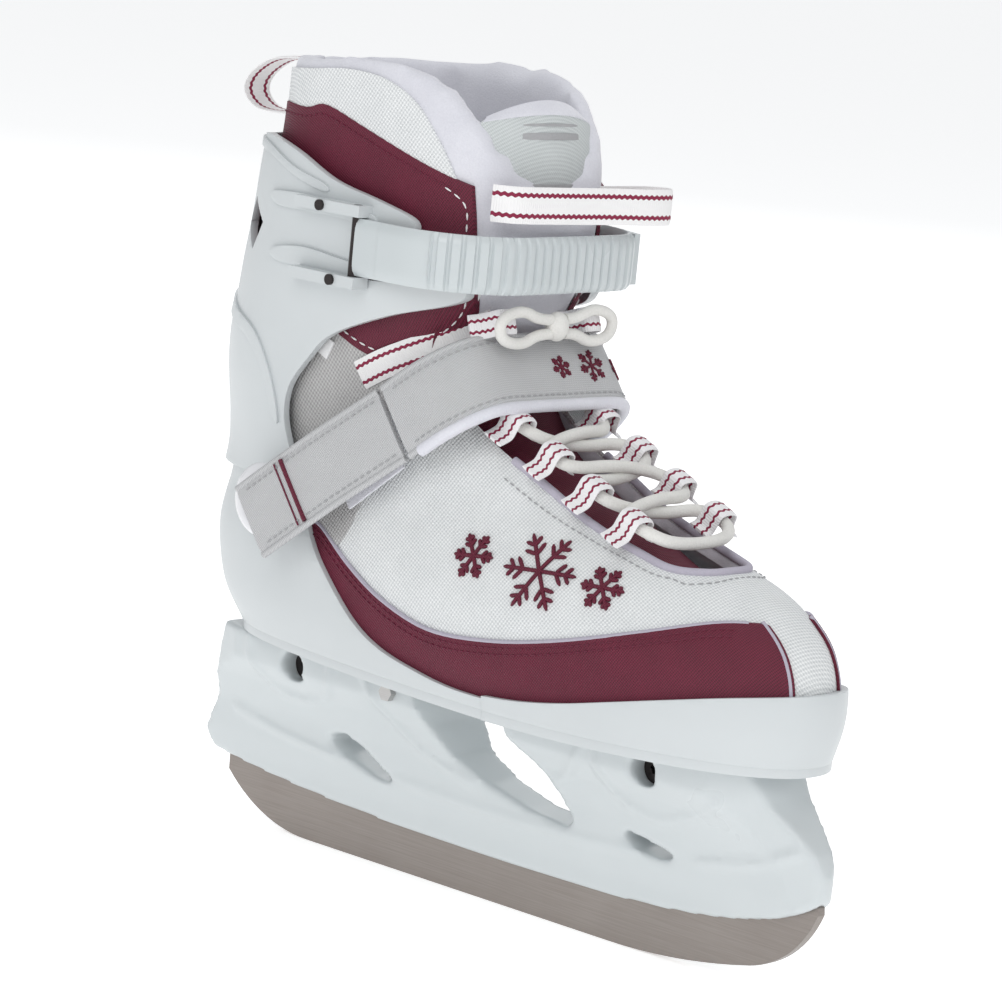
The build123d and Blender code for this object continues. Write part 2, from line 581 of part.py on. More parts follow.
# ---------------------------------------------------------------- ratchet buckle on the outer side
EAR = 2.4
EAR_LOW = STRAP_LOW - 0.5 - EAR
EAR_HIGH = STRAP_LOW + STRAP_WIDTH + 0.5
OUTSIDE = TAIL_RADIUS + STRAP_THICKNESS / 2  # strap's outer face, measured from the hinge pin
LEVER_PIN = (-38.0, OUTSIDE - SIDE + 5.6)
PAWL_PIN = (-54.0, OUTSIDE - SIDE + 4.8)
BUCKLE_PIN_RADIUS = 1.5
RUN = 0.05                    # running clearance on the buckle pins

with BuildPart() as buckle_base:
    with Locations((-44.0, BUCKLE_OUT, EAR_LOW)):
        Box(44, FLOOR, EAR_HIGH + EAR - EAR_LOW, align=(Align.CENTER, Align.MIN, Align.MIN))
    for low in (EAR_LOW, EAR_HIGH):
        with BuildSketch(Plane.XY.offset(low)):
            with BuildLine():
                Polyline((-64, BUCKLE_OUT + 0.2), (-24, BUCKLE_OUT + 0.2), (-32, LEVER_PIN[1] + 3),
                         (-44, LEVER_PIN[1] + 3), (-50, PAWL_PIN[1] + 3), (-58, PAWL_PIN[1] + 3), close=True)
            make_face()
            with Locations(LEVER_PIN, PAWL_PIN):
                Circle(BUCKLE_PIN_RADIUS, mode=Mode.SUBTRACT)
        extrude(amount=EAR)
    with Locations(Location((-60.0, BUCKLE_OUT, STRAP_Z), (90, 0, 0))):
        Cylinder(2.0, 10.0, mode=Mode.SUBTRACT)
save(buckle_base, "buckle_base")

with BuildPart() as buckle_rivet:
    rivet_side = leg_side(CUFF_OUTER) - RIVET_ROOT
    with BuildSketch(Plane((-60.0, rivet_side, STRAP_Z), x_dir=(1, 0, 0), z_dir=(0, 1, 0))):
        Circle(1.9)
    extrude(amount=BUCKLE_OUT + FLOOR - rivet_side)
    add(cuff_outer, mode=Mode.SUBTRACT)
    with BuildSketch(Plane((-60.0, BUCKLE_OUT + FLOOR, STRAP_Z), x_dir=(1, 0, 0), z_dir=(0, 1, 0))):
        Circle(3.2)
    extrude(amount=0.8)
save(buckle_rivet, "buckle_rivet")

for name, centre in (("lever_pin", LEVER_PIN), ("pawl_pin", PAWL_PIN)):
    with BuildPart() as buckle_pin:
        with Locations((centre[0], centre[1], EAR_LOW)):
            Cylinder(BUCKLE_PIN_RADIUS, EAR_HIGH + EAR - EAR_LOW, align=(Align.CENTER, Align.CENTER, Align.MIN))
    save(buckle_pin, name)

LEVER_GAP = 0.5
LEVER_WALL = 2.6
LEVER_TIP_X = -1.0
with BuildPart() as buckle_lever:
    with BuildSketch(Plane.XY.offset(STRAP_LOW + 1)):
        with Locations((STRAP_PIN_X, -SIDE)):
            Circle(OUTSIDE + LEVER_GAP + LEVER_WALL)
            Circle(OUTSIDE + LEVER_GAP, mode=Mode.SUBTRACT)
        with Locations(((LEVER_TIP_X + LEVER_PIN[0]) / 2, OUTSIDE - SIDE)):
            Rectangle(LEVER_TIP_X - LEVER_PIN[0], 30, mode=Mode.INTERSECT)
        with Locations(LEVER_PIN):
            Circle(3.6)
            Circle(BUCKLE_PIN_RADIUS + RUN, mode=Mode.SUBTRACT)
    extrude(amount=STRAP_WIDTH - 2)
save(buckle_lever, "buckle_lever")

with BuildPart() as buckle_pawl:
    with BuildSketch(Plane.XY.offset(STRAP_LOW + 2)):
        with BuildLine():
            Polyline((PAWL_PIN[0] + 8, PAWL_PIN[1] - 4.2), (PAWL_PIN[0] + 9, PAWL_PIN[1] - 1),
                     (PAWL_PIN[0] + 4, PAWL_PIN[1] + 2), (PAWL_PIN[0], PAWL_PIN[1] + 3),
                     (PAWL_PIN[0] - 12, PAWL_PIN[1] + 2.6), (PAWL_PIN[0] - 12, PAWL_PIN[1] + 0.6),
                     (PAWL_PIN[0] - 3, PAWL_PIN[1] - 2.4), (PAWL_PIN[0] + 3, PAWL_PIN[1] - 2.8), close=True)
        make_face()
        with Locations(PAWL_PIN):
            Circle(BUCKLE_PIN_RADIUS + RUN, mode=Mode.SUBTRACT)
    extrude(amount=STRAP_WIDTH - 4)
save(buckle_pawl, "buckle_pawl")

# ---------------------------------------------------------------- instep strap
# It lies in a plane that tips down towards the heel: u runs from the top of the instep to the heel.
tilt = math.radians(INSTEP_TILT)
CROWN_X = 2.0
CROWN_Z = SOLE_TOP + 106.0
DOWN = (-math.cos(tilt), 0.0, -math.sin(tilt))
ACROSS = (math.sin(tilt), 0.0, -math.cos(tilt))
strap_plane = Plane((CROWN_X, 0, CROWN_Z), x_dir=DOWN, z_dir=ACROSS)


def band(points, radii, thickness, width, plane):
    """A flat strap of one thickness, bent along a route in a plane and extruded to its width."""
    with BuildPart() as strip:
        with BuildSketch(plane) as outline:
            with BuildLine():
                if len(points) > 2:
                    FilletPolyline(*points, radius=radii)
                else:
                    Line(*points)
                offset(amount=thickness / 2, side=Side.BOTH)
            make_face()
        extrude(outline.sketch, amount=width / 2, both=True)
    return strip.part


def wide(points):
    """Strap points whose Y follows the width of the boot."""
    return [(u, y * WIDER) for u, y in points]


OVER = wide([(68.0, 47.0), (44.0, 47.0), (12.0, 43.8), (-6.0, 36.0), (-6.0, -36.0), (12.0, -43.8), (27.0, -44.9)])
TAB = wide([(30.2, -45.6), (60.0, -50.8), (102.0, -54.2)])
with BuildPart() as instep_strap:
    add(band(OVER, 9.0, INSTEP_THICKNESS, INSTEP_WIDTH, strap_plane))
save(instep_strap, "instep_strap")

with BuildPart() as strap_tab:
    add(band(TAB, 12.0, INSTEP_THICKNESS, INSTEP_WIDTH, strap_plane))
save(strap_tab, "strap_tab")

# What the tab closes on: a soft underlay sewn to the quarter, with loop pile on it and hooks on the tab.
PATCH = 1.0
UNDERLAY_WALL = 1.2
UNDERLAY_Y = -leg_side(0.8 + UNDERLAY_WALL / 2)
with BuildPart() as strap_underlay:
    add(band([(34.0, UNDERLAY_Y), (64.0, UNDERLAY_Y)], 0, UNDERLAY_WALL, INSTEP_WIDTH + 4, strap_plane))
save(strap_underlay, "strap_underlay")

loop_y = UNDERLAY_Y - UNDERLAY_WALL / 2 - PATCH / 2
slope = (TAB[1][1] - TAB[0][1]) / (TAB[1][0] - TAB[0][0])
lean = math.hypot(1, slope)
hook_drop = TAB[0][1] - slope * TAB[0][0] + lean * (INSTEP_THICKNESS + PATCH) / 2
hook_line = [(u, hook_drop + slope * u) for u in (47.0, 59.0)]
for name, line in (("hook_patch", hook_line), ("loop_patch", [(46.0, loop_y), (60.0, loop_y)])):
    with BuildPart() as patch:
        add(band(line, 0, PATCH, INSTEP_WIDTH - 6, strap_plane))
    save(patch, name)

with BuildPart() as strap_rivet:
    anchor = strap_plane.from_local_coords(Vector(60.0, OVER[0][1] + INSTEP_THICKNESS / 2, 0))
    with BuildSketch(Plane(anchor, x_dir=DOWN, z_dir=(0, 1, 0))):
        Circle(4.0)
    extrude(amount=1.5, taper=25)
save(strap_rivet, "strap_rivet")

# ---------------------------------------------------------------- laces and their ribbon loops
ROWS = [72.0, 53.0, 34.0, 15.0]       # X of each pair of loops, from the toe
LOOP_SIDE = 21.5                     # half distance between the two loops of a pair
LOOP_RISE = 5.8                      # middle of a loop above the tongue
UPPER_ROW = (2.4, 206.0)             # X and Z of the pair on the collar
LOOP_HALF = 3.2                      # half length of a loop along the lace


def instep(x):
    """Height of the instep line at a place along the boot."""
    line = sorted(p for p in SIDE_VIEW if -6 < p[0] < 140 and 31 < p[1] < 102)
    for low, high in zip(line, line[1:]):
        if low[0] <= x <= high[0]:
            return SOLE_TOP - SKIN + low[1] + (high[1] - low[1]) * (x - low[0]) / (high[0] - low[0])
    return SOLE_TOP - SKIN + line[0][1]


def ribbon_loop(place):
    """One folded ribbon with a hole for the lace, made at a Location."""
    with BuildPart() as loop:
        with BuildSketch(Plane.YZ) as hoop:
            RectangleRounded(8.6, 8.6, 3.4)
            RectangleRounded(8.6 - 2 * RIBBON_THICKNESS, 8.6 - 2 * RIBBON_THICKNESS, 3.4 - RIBBON_THICKNESS,
                             mode=Mode.SUBTRACT)
        extrude(hoop.sketch, amount=LOOP_HALF, both=True)
    return place * loop.part


SLOPE = 23.5                         # degrees that the instep falls towards the toe
with BuildPart() as lace_loops_lower:
    for x in ROWS:
        for side in (1, -1):
            add(ribbon_loop(Location((x, side * LOOP_SIDE, instep(x) + LOOP_RISE), (0, SLOPE, 0))))
save(lace_loops_lower, "lace_loops_lower")

with BuildPart() as lace_loops_upper:
    for side in (1, -1):
        add(ribbon_loop(Location((UPPER_ROW[0], side * LOOP_SIDE, UPPER_ROW[1]), (0, 70, 0))))
save(lace_loops_upper, "lace_loops_upper")


def strand(side, lift):
    """Route of one half of the lace, from the toe up: through a loop, then across to the other side."""
    points = []
    for x, next_x in zip(ROWS, ROWS[1:] + [None]):
        points.append((x + 2 * LOOP_HALF, side * LOOP_SIDE, instep(x + 2 * LOOP_HALF) + LOOP_RISE))
        points.append((x - 2 * LOOP_HALF, side * LOOP_SIDE, instep(x - 2 * LOOP_HALF) + LOOP_RISE))
        if next_x is not None:
            middle = (x + next_x) / 2
            points.append((middle, 0.0, instep(middle) + lift))
        side = -side
    return points


def corner_radii(points):
    """0.45 of the shorter run at each corner, divided by the tangent of half the turn."""
    radii = []
    for before, here, after in zip(points, points[1:], points[2:]):
        first = Vector(*here) - Vector(*before)
        second = Vector(*after) - Vector(*here)
        half_turn = math.radians(first.get_angle(second)) / 2
        radii.append(min(0.45 * min(first.length, second.length) / math.tan(half_turn), 60.0))
    return radii


def tube(points, diameter):
    """A round cord along straight runs and tangent arcs."""
    radii = corner_radii(points)
    with BuildPart() as cord:
        with BuildLine() as route:
            path = FilletPolyline(*points, radius=radii)
        with BuildSketch(Plane(path @ 0, z_dir=path % 0)) as section:
            Circle(diameter / 2)
        sweep(section.sketch, path=path)
    ratio = cord.part.volume / (math.pi * diameter ** 2 / 4 * path.length)
    print("cord length", round(path.length), "radii", [round(r, 1) for r in radii], "volume ratio", round(ratio, 3))
    return cord.part


OVER_LIFT = 8.4
UNDER_LIFT = 2.7
FRONT_BAR_X = ROWS[0] + 12.0
FRONT_BAR_Z = instep(FRONT_BAR_X) + 3.8
FRONT_BAR = [(FRONT_BAR_X, -12.0, FRONT_BAR_Z), (FRONT_BAR_X, 12.0, FRONT_BAR_Z + 0.2)]
LACE = list(reversed(strand(-1, OVER_LIFT))) + FRONT_BAR + strand(1, UNDER_LIFT)
with BuildPart() as lace_lower:
    add(tube(LACE, LACE_DIAMETER))
save(lace_lower, "lace_lower")

BOW_X = 9.2
KNOT_BACK = -3.6                    # where the knot meets the tongue
KNOT = 3.5                           # half width of the knot
BOW = [(KNOT, 128.2), (KNOT + 6, 128.2), (18, 132), (29, 129), (28, 121.5), (17, 119.5), (KNOT + 6, 123.2),
       (KNOT, 123.2)]
with BuildPart() as lace_bow:
    for side in (1, -1):
        add(tube([(BOW_X, side * y, SOLE_TOP + height) for y, height in BOW], LACE_DIAMETER * 0.9))
    with Locations((BOW_X + 3, 0, SOLE_TOP + 125.7)):
        Box(BOW_X + 3 - KNOT_BACK, 2 * KNOT, 9, align=(Align.MAX, Align.CENTER, Align.CENTER))
save(lace_bow, "lace_bow")

# ---------------------------------------------------------------- pull loops
HEEL_LOOP = [(-118.5, SOLE_TOP + 203), (-136, SOLE_TOP + 202), (-149, SOLE_TOP + 193), (-143, SOLE_TOP + 183),
             (-118.5, SOLE_TOP + 184)]
with BuildPart() as heel_pull:
    with BuildSketch(Plane.XZ) as heel_ribbon:
        with BuildLine():
            FilletPolyline(*HEEL_LOOP, radius=6.0)
            offset(amount=RIBBON_THICKNESS, side=Side.BOTH)
        make_face()
    extrude(heel_ribbon.sketch, amount=RIBBON_WIDTH / 2, both=True)
save(heel_pull, "heel_pull_loop")

FRONT_LOOP = [(3, -32), (10, -26), (13, 5), (19, 38), (14, 47), (7.5, 38), (8.2, 16)]
with BuildPart() as front_pull:
    with BuildSketch(Plane.XY.offset(SOLE_TOP + 168)) as front_ribbon:
        with BuildLine():
            FilletPolyline(*FRONT_LOOP, radius=3.0)
            offset(amount=RIBBON_THICKNESS / 2, side=Side.BOTH)
        make_face()
    extrude(front_ribbon.sketch, amount=RIBBON_WIDTH / 2, both=True)
save(front_pull, "front_pull_loop")

# ---------------------------------------------------------------- springs of the buckle's catch
with BuildPart() as pawl_springs:
    for low in (STRAP_LOW - 0.3, STRAP_LOW + STRAP_WIDTH - 1.6):
        with BuildSketch(Plane.XY.offset(low)) as coil:
            with Locations(PAWL_PIN):
                Circle(BUCKLE_PIN_RADIUS + 1.2)
                Circle(BUCKLE_PIN_RADIUS + 0.2, mode=Mode.SUBTRACT)
        extrude(coil.sketch, amount=1.9)
save(pawl_springs, "pawl_springs")

# ---------------------------------------------------------------- joint axes, for the record
peel = strap_plane.from_local_coords(Vector(28.9, TAB[0][1] - INSTEP_THICKNESS / 2, 0))
print("AXES", dict(side=SIDE, lever=LEVER_PIN, pawl=PAWL_PIN, peel=(peel.X, peel.Y, peel.Z)))
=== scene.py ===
# %% [markdown]
# # A left ice skate
# The measured model is loaded first and never changes. Every piece made below is in metres, in the
# same frame: +X to the toe, +Y to the outer side of the foot, +Z up, with the blade's edge at Z = 0.

# %% Load the measured model
import math

import bpy
from mathutils import Matrix, Vector
from mathutils.bvhtree import BVHTree


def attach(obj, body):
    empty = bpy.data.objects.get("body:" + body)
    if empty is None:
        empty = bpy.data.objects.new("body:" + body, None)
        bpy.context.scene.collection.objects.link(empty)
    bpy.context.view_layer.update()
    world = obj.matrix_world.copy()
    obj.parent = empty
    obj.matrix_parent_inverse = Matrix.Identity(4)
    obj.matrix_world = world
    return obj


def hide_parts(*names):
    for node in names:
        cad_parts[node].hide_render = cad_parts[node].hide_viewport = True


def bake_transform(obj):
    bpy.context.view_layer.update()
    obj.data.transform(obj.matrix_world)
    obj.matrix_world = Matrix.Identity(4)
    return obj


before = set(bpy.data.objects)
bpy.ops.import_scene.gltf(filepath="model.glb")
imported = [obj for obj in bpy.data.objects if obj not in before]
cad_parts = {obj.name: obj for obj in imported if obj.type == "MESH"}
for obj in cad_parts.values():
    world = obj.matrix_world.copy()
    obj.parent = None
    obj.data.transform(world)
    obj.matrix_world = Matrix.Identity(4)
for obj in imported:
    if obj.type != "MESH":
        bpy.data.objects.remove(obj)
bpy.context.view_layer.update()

# %% [markdown]
# ## Camera, floor and light
# A catalogue view: the toe comes towards the lens and a long lens keeps the proportions calm. The camera
# is placed by its angles round a target, so it can be read and changed by hand.

# %% Camera
SOLE_TOP = 0.080
AZIMUTH, ELEVATION, ROLL = (math.radians(a) for a in (42.63, 9.29, 5.54))
TARGET = Vector((-0.009, 0.0, 0.14104))
DISTANCE = 1.52122

back = Vector((math.sin(AZIMUTH) * math.cos(ELEVATION), -math.cos(AZIMUTH) * math.cos(ELEVATION),
               math.sin(ELEVATION)))
level_right = Vector((math.cos(AZIMUTH), math.sin(AZIMUTH), 0.0))
level_up = back.cross(level_right)
right = level_right * math.cos(ROLL) + level_up * math.sin(ROLL)
upward = level_up * math.cos(ROLL) - level_right * math.sin(ROLL)
camera_data = bpy.data.cameras.new("camera")
camera_data.lens = 155.93
camera_data.clip_start = 0.05
camera = bpy.data.objects.new("camera", camera_data)
camera.matrix_world = Matrix.Translation(TARGET + back * DISTANCE) @ Matrix(
    (right, upward, back)).transposed().to_4x4()
bpy.context.scene.collection.objects.link(camera)
bpy.context.scene.camera = camera
print("camera at", camera.location)

# %% Floor and soft light
bpy.ops.object.select_all(action="DESELECT")
bpy.ops.mesh.primitive_plane_add(size=30.0, location=(0, 0, 0))
floor = bpy.context.object
floor.name = "floor"


def light(name, place, size, power):
    """A square soft box that points at the middle of the skate."""
    lamp = bpy.data.lights.new(name, "AREA")
    lamp.size = size
    lamp.energy = power
    holder = bpy.data.objects.new(name, lamp)
    holder.location = place
    holder.rotation_euler = (Vector(place) - Vector((0, 0, 0.13))).to_track_quat("Z", "Y").to_euler()
    bpy.context.scene.collection.objects.link(holder)


light("key", (0.9, -1.9, 1.5), 1.4, 17)
light("fill", (2.1, -0.3, 1.0), 1.6, 7)
light("top", (-0.2, 0.2, 2.3), 2.2, 11)
light("rim", (-1.3, 1.6, 1.4), 1.4, 9)
world = bpy.data.worlds.new("studio")
world.use_nodes = True
sky = world.node_tree.nodes["Background"]
sky.inputs["Color"].default_value = (0.92, 0.94, 0.96, 1)
seen = world.node_tree.nodes.new("ShaderNodeLightPath").outputs["Is Camera Ray"]
glow = world.node_tree.nodes.new("ShaderNodeMath")
glow.operation = "MULTIPLY_ADD"
world.node_tree.links.new(seen, glow.inputs[0])
glow.inputs[1].default_value = 0.64
glow.inputs[2].default_value = 0.46
world.node_tree.links.new(glow.outputs[0], sky.inputs["Strength"])
bpy.context.scene.world = world
bpy.context.scene.view_settings.view_transform = "Standard"
print("four lights and a pale world")

# %% [markdown]
# ## Finishes
# Five effects are shared by many finishes, so each is a node group with named inputs: cloth weave, soft
# nap, moulded plastic, brushed metal and striped ribbon. A material adds only its own colours and values.

# %% Helpers for node groups and materials
def new_group(name, inputs, outputs):
    """An empty shader group with named sockets. Returns the tree with its two end nodes."""
    tree = bpy.data.node_groups.new(name, "ShaderNodeTree")
    for label, kind, value in inputs:
        socket = tree.interface.new_socket(name=label, in_out="INPUT", socket_type=kind)
        socket.default_value = value
    for label, kind in outputs:
        tree.interface.new_socket(name=label, in_out="OUTPUT", socket_type=kind)
    return tree, tree.nodes.new("NodeGroupInput"), tree.nodes.new("NodeGroupOutput")


def math_node(tree, operation, first, second=None):
    """A Math node whose inputs are sockets or numbers. Returns its output."""
    node = tree.nodes.new("ShaderNodeMath")
    node.operation = operation
    for slot, value in enumerate((first, second)):
        if value is None:
            continue
        if isinstance(value, (int, float)):
            node.inputs[slot].default_value = value
        else:
            tree.links.new(value, node.inputs[slot])
    return node.outputs[0]


def mix_colour(tree, factor, first, second):
    """Blend two colours by a mask. Returns the colour socket."""
    node = tree.nodes.new("ShaderNodeMix")
    node.data_type = "RGBA"
    for slot, value in ((0, factor), (6, first), (7, second)):
        if isinstance(value, bpy.types.NodeSocket):
            tree.links.new(value, node.inputs[slot])
        else:
            node.inputs[slot].default_value = value
    return node.outputs[2]


def noise_at(tree, vector, scale, detail=2.0):
    """Soft noise over a vector, from 0 to 1."""
    node = tree.nodes.new("ShaderNodeTexNoise")
    node.inputs["Scale"].default_value = scale
    node.inputs["Detail"].default_value = detail
    tree.links.new(vector, node.inputs["Vector"])
    return node.outputs[0]


def dot_with(tree, vector, direction):
    """How far a point lies along a direction."""
    node = tree.nodes.new("ShaderNodeVectorMath")
    node.operation = "DOT_PRODUCT"
    tree.links.new(vector, node.inputs[0])
    node.inputs[1].default_value = direction
    return node.outputs["Value"]


COLOUR = "NodeSocketColor"
FLOAT = "NodeSocketFloat"

# %% Cloth weave group
weave, weave_in, weave_out = new_group(
    "cloth_weave", [("Yarn", COLOUR, (1, 1, 1, 1)), ("Gap", COLOUR, (0, 0, 0, 1)), ("Threads", FLOAT, 600.0),
                    ("Uneven", FLOAT, 0.3)],
    [("Colour", COLOUR), ("Height", FLOAT)])
place = weave.nodes.new("ShaderNodeTexCoord").outputs["Object"]
warp = math_node(weave, "SINE", math_node(weave, "MULTIPLY", dot_with(weave, place, (6.283, 3.9, 1.6)),
                                          weave_in.outputs["Threads"]))
weft = math_node(weave, "SINE", math_node(weave, "MULTIPLY", dot_with(weave, place, (-1.6, 3.9, 6.283)),
                                          weave_in.outputs["Threads"]))
cross = math_node(weave, "MULTIPLY", math_node(weave, "MULTIPLY", warp, weft), 0.5)
height = math_node(weave, "ADD", cross, 0.5)
blotch = noise_at(weave, place, 90.0)
uneven = math_node(weave, "MULTIPLY", math_node(weave, "SUBTRACT", blotch, 0.5), weave_in.outputs["Uneven"])
mask = math_node(weave, "ADD", height, uneven)
weave.links.new(mix_colour(weave, mask, weave_in.outputs["Gap"], weave_in.outputs["Yarn"]),
                weave_out.inputs["Colour"])
weave.links.new(height, weave_out.inputs["Height"])

# %% Nap, plastic and metal groups
nap, nap_in, nap_out = new_group(
    "soft_nap", [("Tip", COLOUR, (1, 1, 1, 1)), ("Root", COLOUR, (0, 0, 0, 1))],
    [("Colour", COLOUR), ("Height", FLOAT)])
place = nap.nodes.new("ShaderNodeTexCoord").outputs["Object"]
fibre = noise_at(nap, place, 1500.0, 3.0)
cloud = noise_at(nap, place, 60.0, 3.0)
nap.links.new(mix_colour(nap, math_node(nap, "MULTIPLY", math_node(nap, "ADD", fibre, cloud), 0.7),
                         nap_in.outputs["Root"], nap_in.outputs["Tip"]), nap_out.inputs["Colour"])
nap.links.new(fibre, nap_out.inputs["Height"])

moulded, moulded_in, moulded_out = new_group(
    "moulded_plastic", [("Base", COLOUR, (1, 1, 1, 1)), ("Shade", COLOUR, (0, 0, 0, 1)),
                        ("Roughness", FLOAT, 0.35)],
    [("Colour", COLOUR), ("Roughness", FLOAT), ("Height", FLOAT)])
place = moulded.nodes.new("ShaderNodeTexCoord").outputs["Object"]
flow = noise_at(moulded, place, 22.0, 3.0)
stipple = noise_at(moulded, place, 1900.0, 2.0)
moulded.links.new(mix_colour(moulded, math_node(moulded, "MULTIPLY", flow, 0.55),
                             moulded_in.outputs["Base"], moulded_in.outputs["Shade"]),
                  moulded_out.inputs["Colour"])
smudge = math_node(moulded, "MULTIPLY", math_node(moulded, "SUBTRACT", flow, 0.5), 0.16)
moulded.links.new(math_node(moulded, "ADD", moulded_in.outputs["Roughness"], smudge),
                  moulded_out.inputs["Roughness"])
moulded.links.new(stipple, moulded_out.inputs["Height"])

brushed, brushed_in, brushed_out = new_group(
    "brushed_metal", [("Light", COLOUR, (1, 1, 1, 1)), ("Dark", COLOUR, (0, 0, 0, 1))],
    [("Colour", COLOUR), ("Roughness", FLOAT), ("Height", FLOAT)])
place = brushed.nodes.new("ShaderNodeTexCoord").outputs["Object"]
stretch = brushed.nodes.new("ShaderNodeMapping")
stretch.inputs["Scale"].default_value = (0.06, 1.0, 3.2)
brushed.links.new(place, stretch.inputs["Vector"])
lines = noise_at(brushed, stretch.outputs[0], 700.0, 4.0)
cloud = noise_at(brushed, place, 30.0, 3.0)
grain = math_node(brushed, "ADD", math_node(brushed, "MULTIPLY", lines, 0.65),
                  math_node(brushed, "MULTIPLY", cloud, 0.35))
brushed.links.new(mix_colour(brushed, grain, brushed_in.outputs["Dark"], brushed_in.outputs["Light"]),
                  brushed_out.inputs["Colour"])
brushed.links.new(math_node(brushed, "ADD", math_node(brushed, "MULTIPLY", grain, 0.3), 0.22),
                  brushed_out.inputs["Roughness"])
brushed.links.new(lines, brushed_out.inputs["Height"])

# %% Striped ribbon group, which reads the ribbon's own UV map: U along it, V across it
stripe, stripe_in, stripe_out = new_group(
    "striped_ribbon", [("Cloth", COLOUR, (1, 1, 1, 1)), ("Line", COLOUR, (0, 0, 0, 1)),
                       ("Offset", FLOAT, 0.28), ("Wave", FLOAT, 0.02)],
    [("Colour", COLOUR), ("Height", FLOAT)])
strip_place = stripe.nodes.new("ShaderNodeTexCoord").outputs["UV"]
split = stripe.nodes.new("ShaderNodeSeparateXYZ")
stripe.links.new(strip_place, split.inputs[0])
ripple = math_node(stripe, "MULTIPLY", math_node(
    stripe, "SINE", math_node(stripe, "MULTIPLY", split.outputs[0], 6.283 * 420)), stripe_in.outputs["Wave"])
off_centre = math_node(stripe, "ABSOLUTE", math_node(stripe, "SUBTRACT", split.outputs[1], 0.5))
distance = math_node(stripe, "ABSOLUTE", math_node(
    stripe, "SUBTRACT", math_node(stripe, "ADD", off_centre, ripple), stripe_in.outputs["Offset"]))
line_mask = math_node(stripe, "LESS_THAN", distance, 0.055)
threads = math_node(stripe, "SINE", math_node(stripe, "MULTIPLY", split.outputs[0], 6.283 * 1100))
rib = math_node(stripe, "MULTIPLY", math_node(stripe, "ADD", threads, 1.0), 0.5)
stripe.links.new(mix_colour(stripe, line_mask, stripe_in.outputs["Cloth"], stripe_in.outputs["Line"]),
                 stripe_out.inputs["Colour"])
stripe.links.new(math_node(stripe, "ADD", rib, line_mask), stripe_out.inputs["Height"])


# %% One helper makes each finish from a group and its values
def finish_of(name, group, values, roughness=0.5, bump=0.2, bump_size=0.0004, **constants):
    """A Principled material fed by one shared group. Constants go straight on the shader's sockets."""
    material = bpy.data.materials.new(name)
    material.use_nodes = True
    tree = material.node_tree
    shader = tree.nodes["Principled BSDF"]
    effect = tree.nodes.new("ShaderNodeGroup")
    effect.node_tree = group
    for label, value in values.items():
        effect.inputs[label].default_value = value
    tree.links.new(effect.outputs["Colour"], shader.inputs["Base Color"])
    shader.inputs["Roughness"].default_value = roughness
    if "Roughness" in effect.outputs:
        tree.links.new(effect.outputs["Roughness"], shader.inputs["Roughness"])
    relief = tree.nodes.new("ShaderNodeBump")
    relief.inputs["Strength"].default_value = bump
    relief.inputs["Distance"].default_value = bump_size
    tree.links.new(effect.outputs["Height"], relief.inputs["Height"])
    tree.links.new(relief.outputs[0], shader.inputs["Normal"])
    for label, value in constants.items():
        shader.inputs[label.replace("_", " ")].default_value = value
    return material


def rgb(red, green, blue):
    return (red, green, blue, 1.0)


MAROON = rgb(0.235, 0.008, 0.045)
SHELL_GREY = finish_of(
    "shell_plastic", moulded, {"Base": rgb(0.61, 0.64, 0.65), "Shade": rgb(0.53, 0.56, 0.572),
    "Roughness": 0.36}, bump=0.10, bump_size=0.0002)
HOLDER_GREY = finish_of(
    "holder_plastic", moulded, {"Base": rgb(0.62, 0.655, 0.665), "Shade": rgb(0.54, 0.58, 0.592),
    "Roughness": 0.30}, bump=0.07, bump_size=0.0002)
STRAP_GREY = finish_of(
    "strap_plastic", moulded, {"Base": rgb(0.58, 0.62, 0.63), "Shade": rgb(0.50, 0.54, 0.55),
    "Roughness": 0.30}, bump=0.06, bump_size=0.0002)
BLADE_STEEL = finish_of(
    "blade_steel", brushed, {"Light": rgb(0.37, 0.335, 0.31), "Dark": rgb(0.19, 0.163, 0.148)},
    bump=0.15, bump_size=0.00015, Metallic=0.85)
BLACK_STEEL = finish_of(
    "black_steel", brushed, {"Light": rgb(0.06, 0.05, 0.05), "Dark": rgb(0.015, 0.012, 0.012)},
    bump=0.10, bump_size=0.0001, Metallic=0.7)
BRIGHT_STEEL = finish_of(
    "bright_steel", brushed, {"Light": rgb(0.62, 0.61, 0.60), "Dark": rgb(0.38, 0.37, 0.36)}, bump=0.10,
    bump_size=0.0001, Metallic=0.9)
WHITE_MESH = finish_of(
    "white_mesh", weave, {"Yarn": rgb(0.90, 0.91, 0.91), "Gap": rgb(0.60, 0.62, 0.63),
    "Threads": 560.0}, roughness=0.75, bump=0.55, bump_size=0.0006)
# The ankle quarter's white mesh is painted a darker warm grey all over. This is painted shade, not another
# cloth.
WHITE_MESH_PAINTED_SHADE = finish_of(
    "grey_mesh", weave, {"Yarn": rgb(0.60, 0.595, 0.59), "Gap": rgb(0.33, 0.32, 0.32),
    "Threads": 560.0}, roughness=0.8, bump=0.55, bump_size=0.0006)
MAROON_WEAVE = finish_of(
    "maroon_weave", weave, {"Yarn": rgb(0.185, 0.006, 0.036), "Gap": rgb(0.05, 0.001, 0.010),
    "Threads": 820.0}, roughness=0.62, bump=0.5, bump_size=0.0004)
TONGUE_CLOTH = finish_of(
    "tongue_cloth", weave, {"Yarn": rgb(0.66, 0.69, 0.69), "Gap": rgb(0.47, 0.50, 0.50),
    "Threads": 760.0}, roughness=0.75, bump=0.4, bump_size=0.0004)
WEBBING_GREY = finish_of(
    "grey_webbing", weave, {"Yarn": rgb(0.58, 0.585, 0.59), "Gap": rgb(0.42, 0.42, 0.43),
    "Threads": 900.0}, roughness=0.7, bump=0.45, bump_size=0.0004)
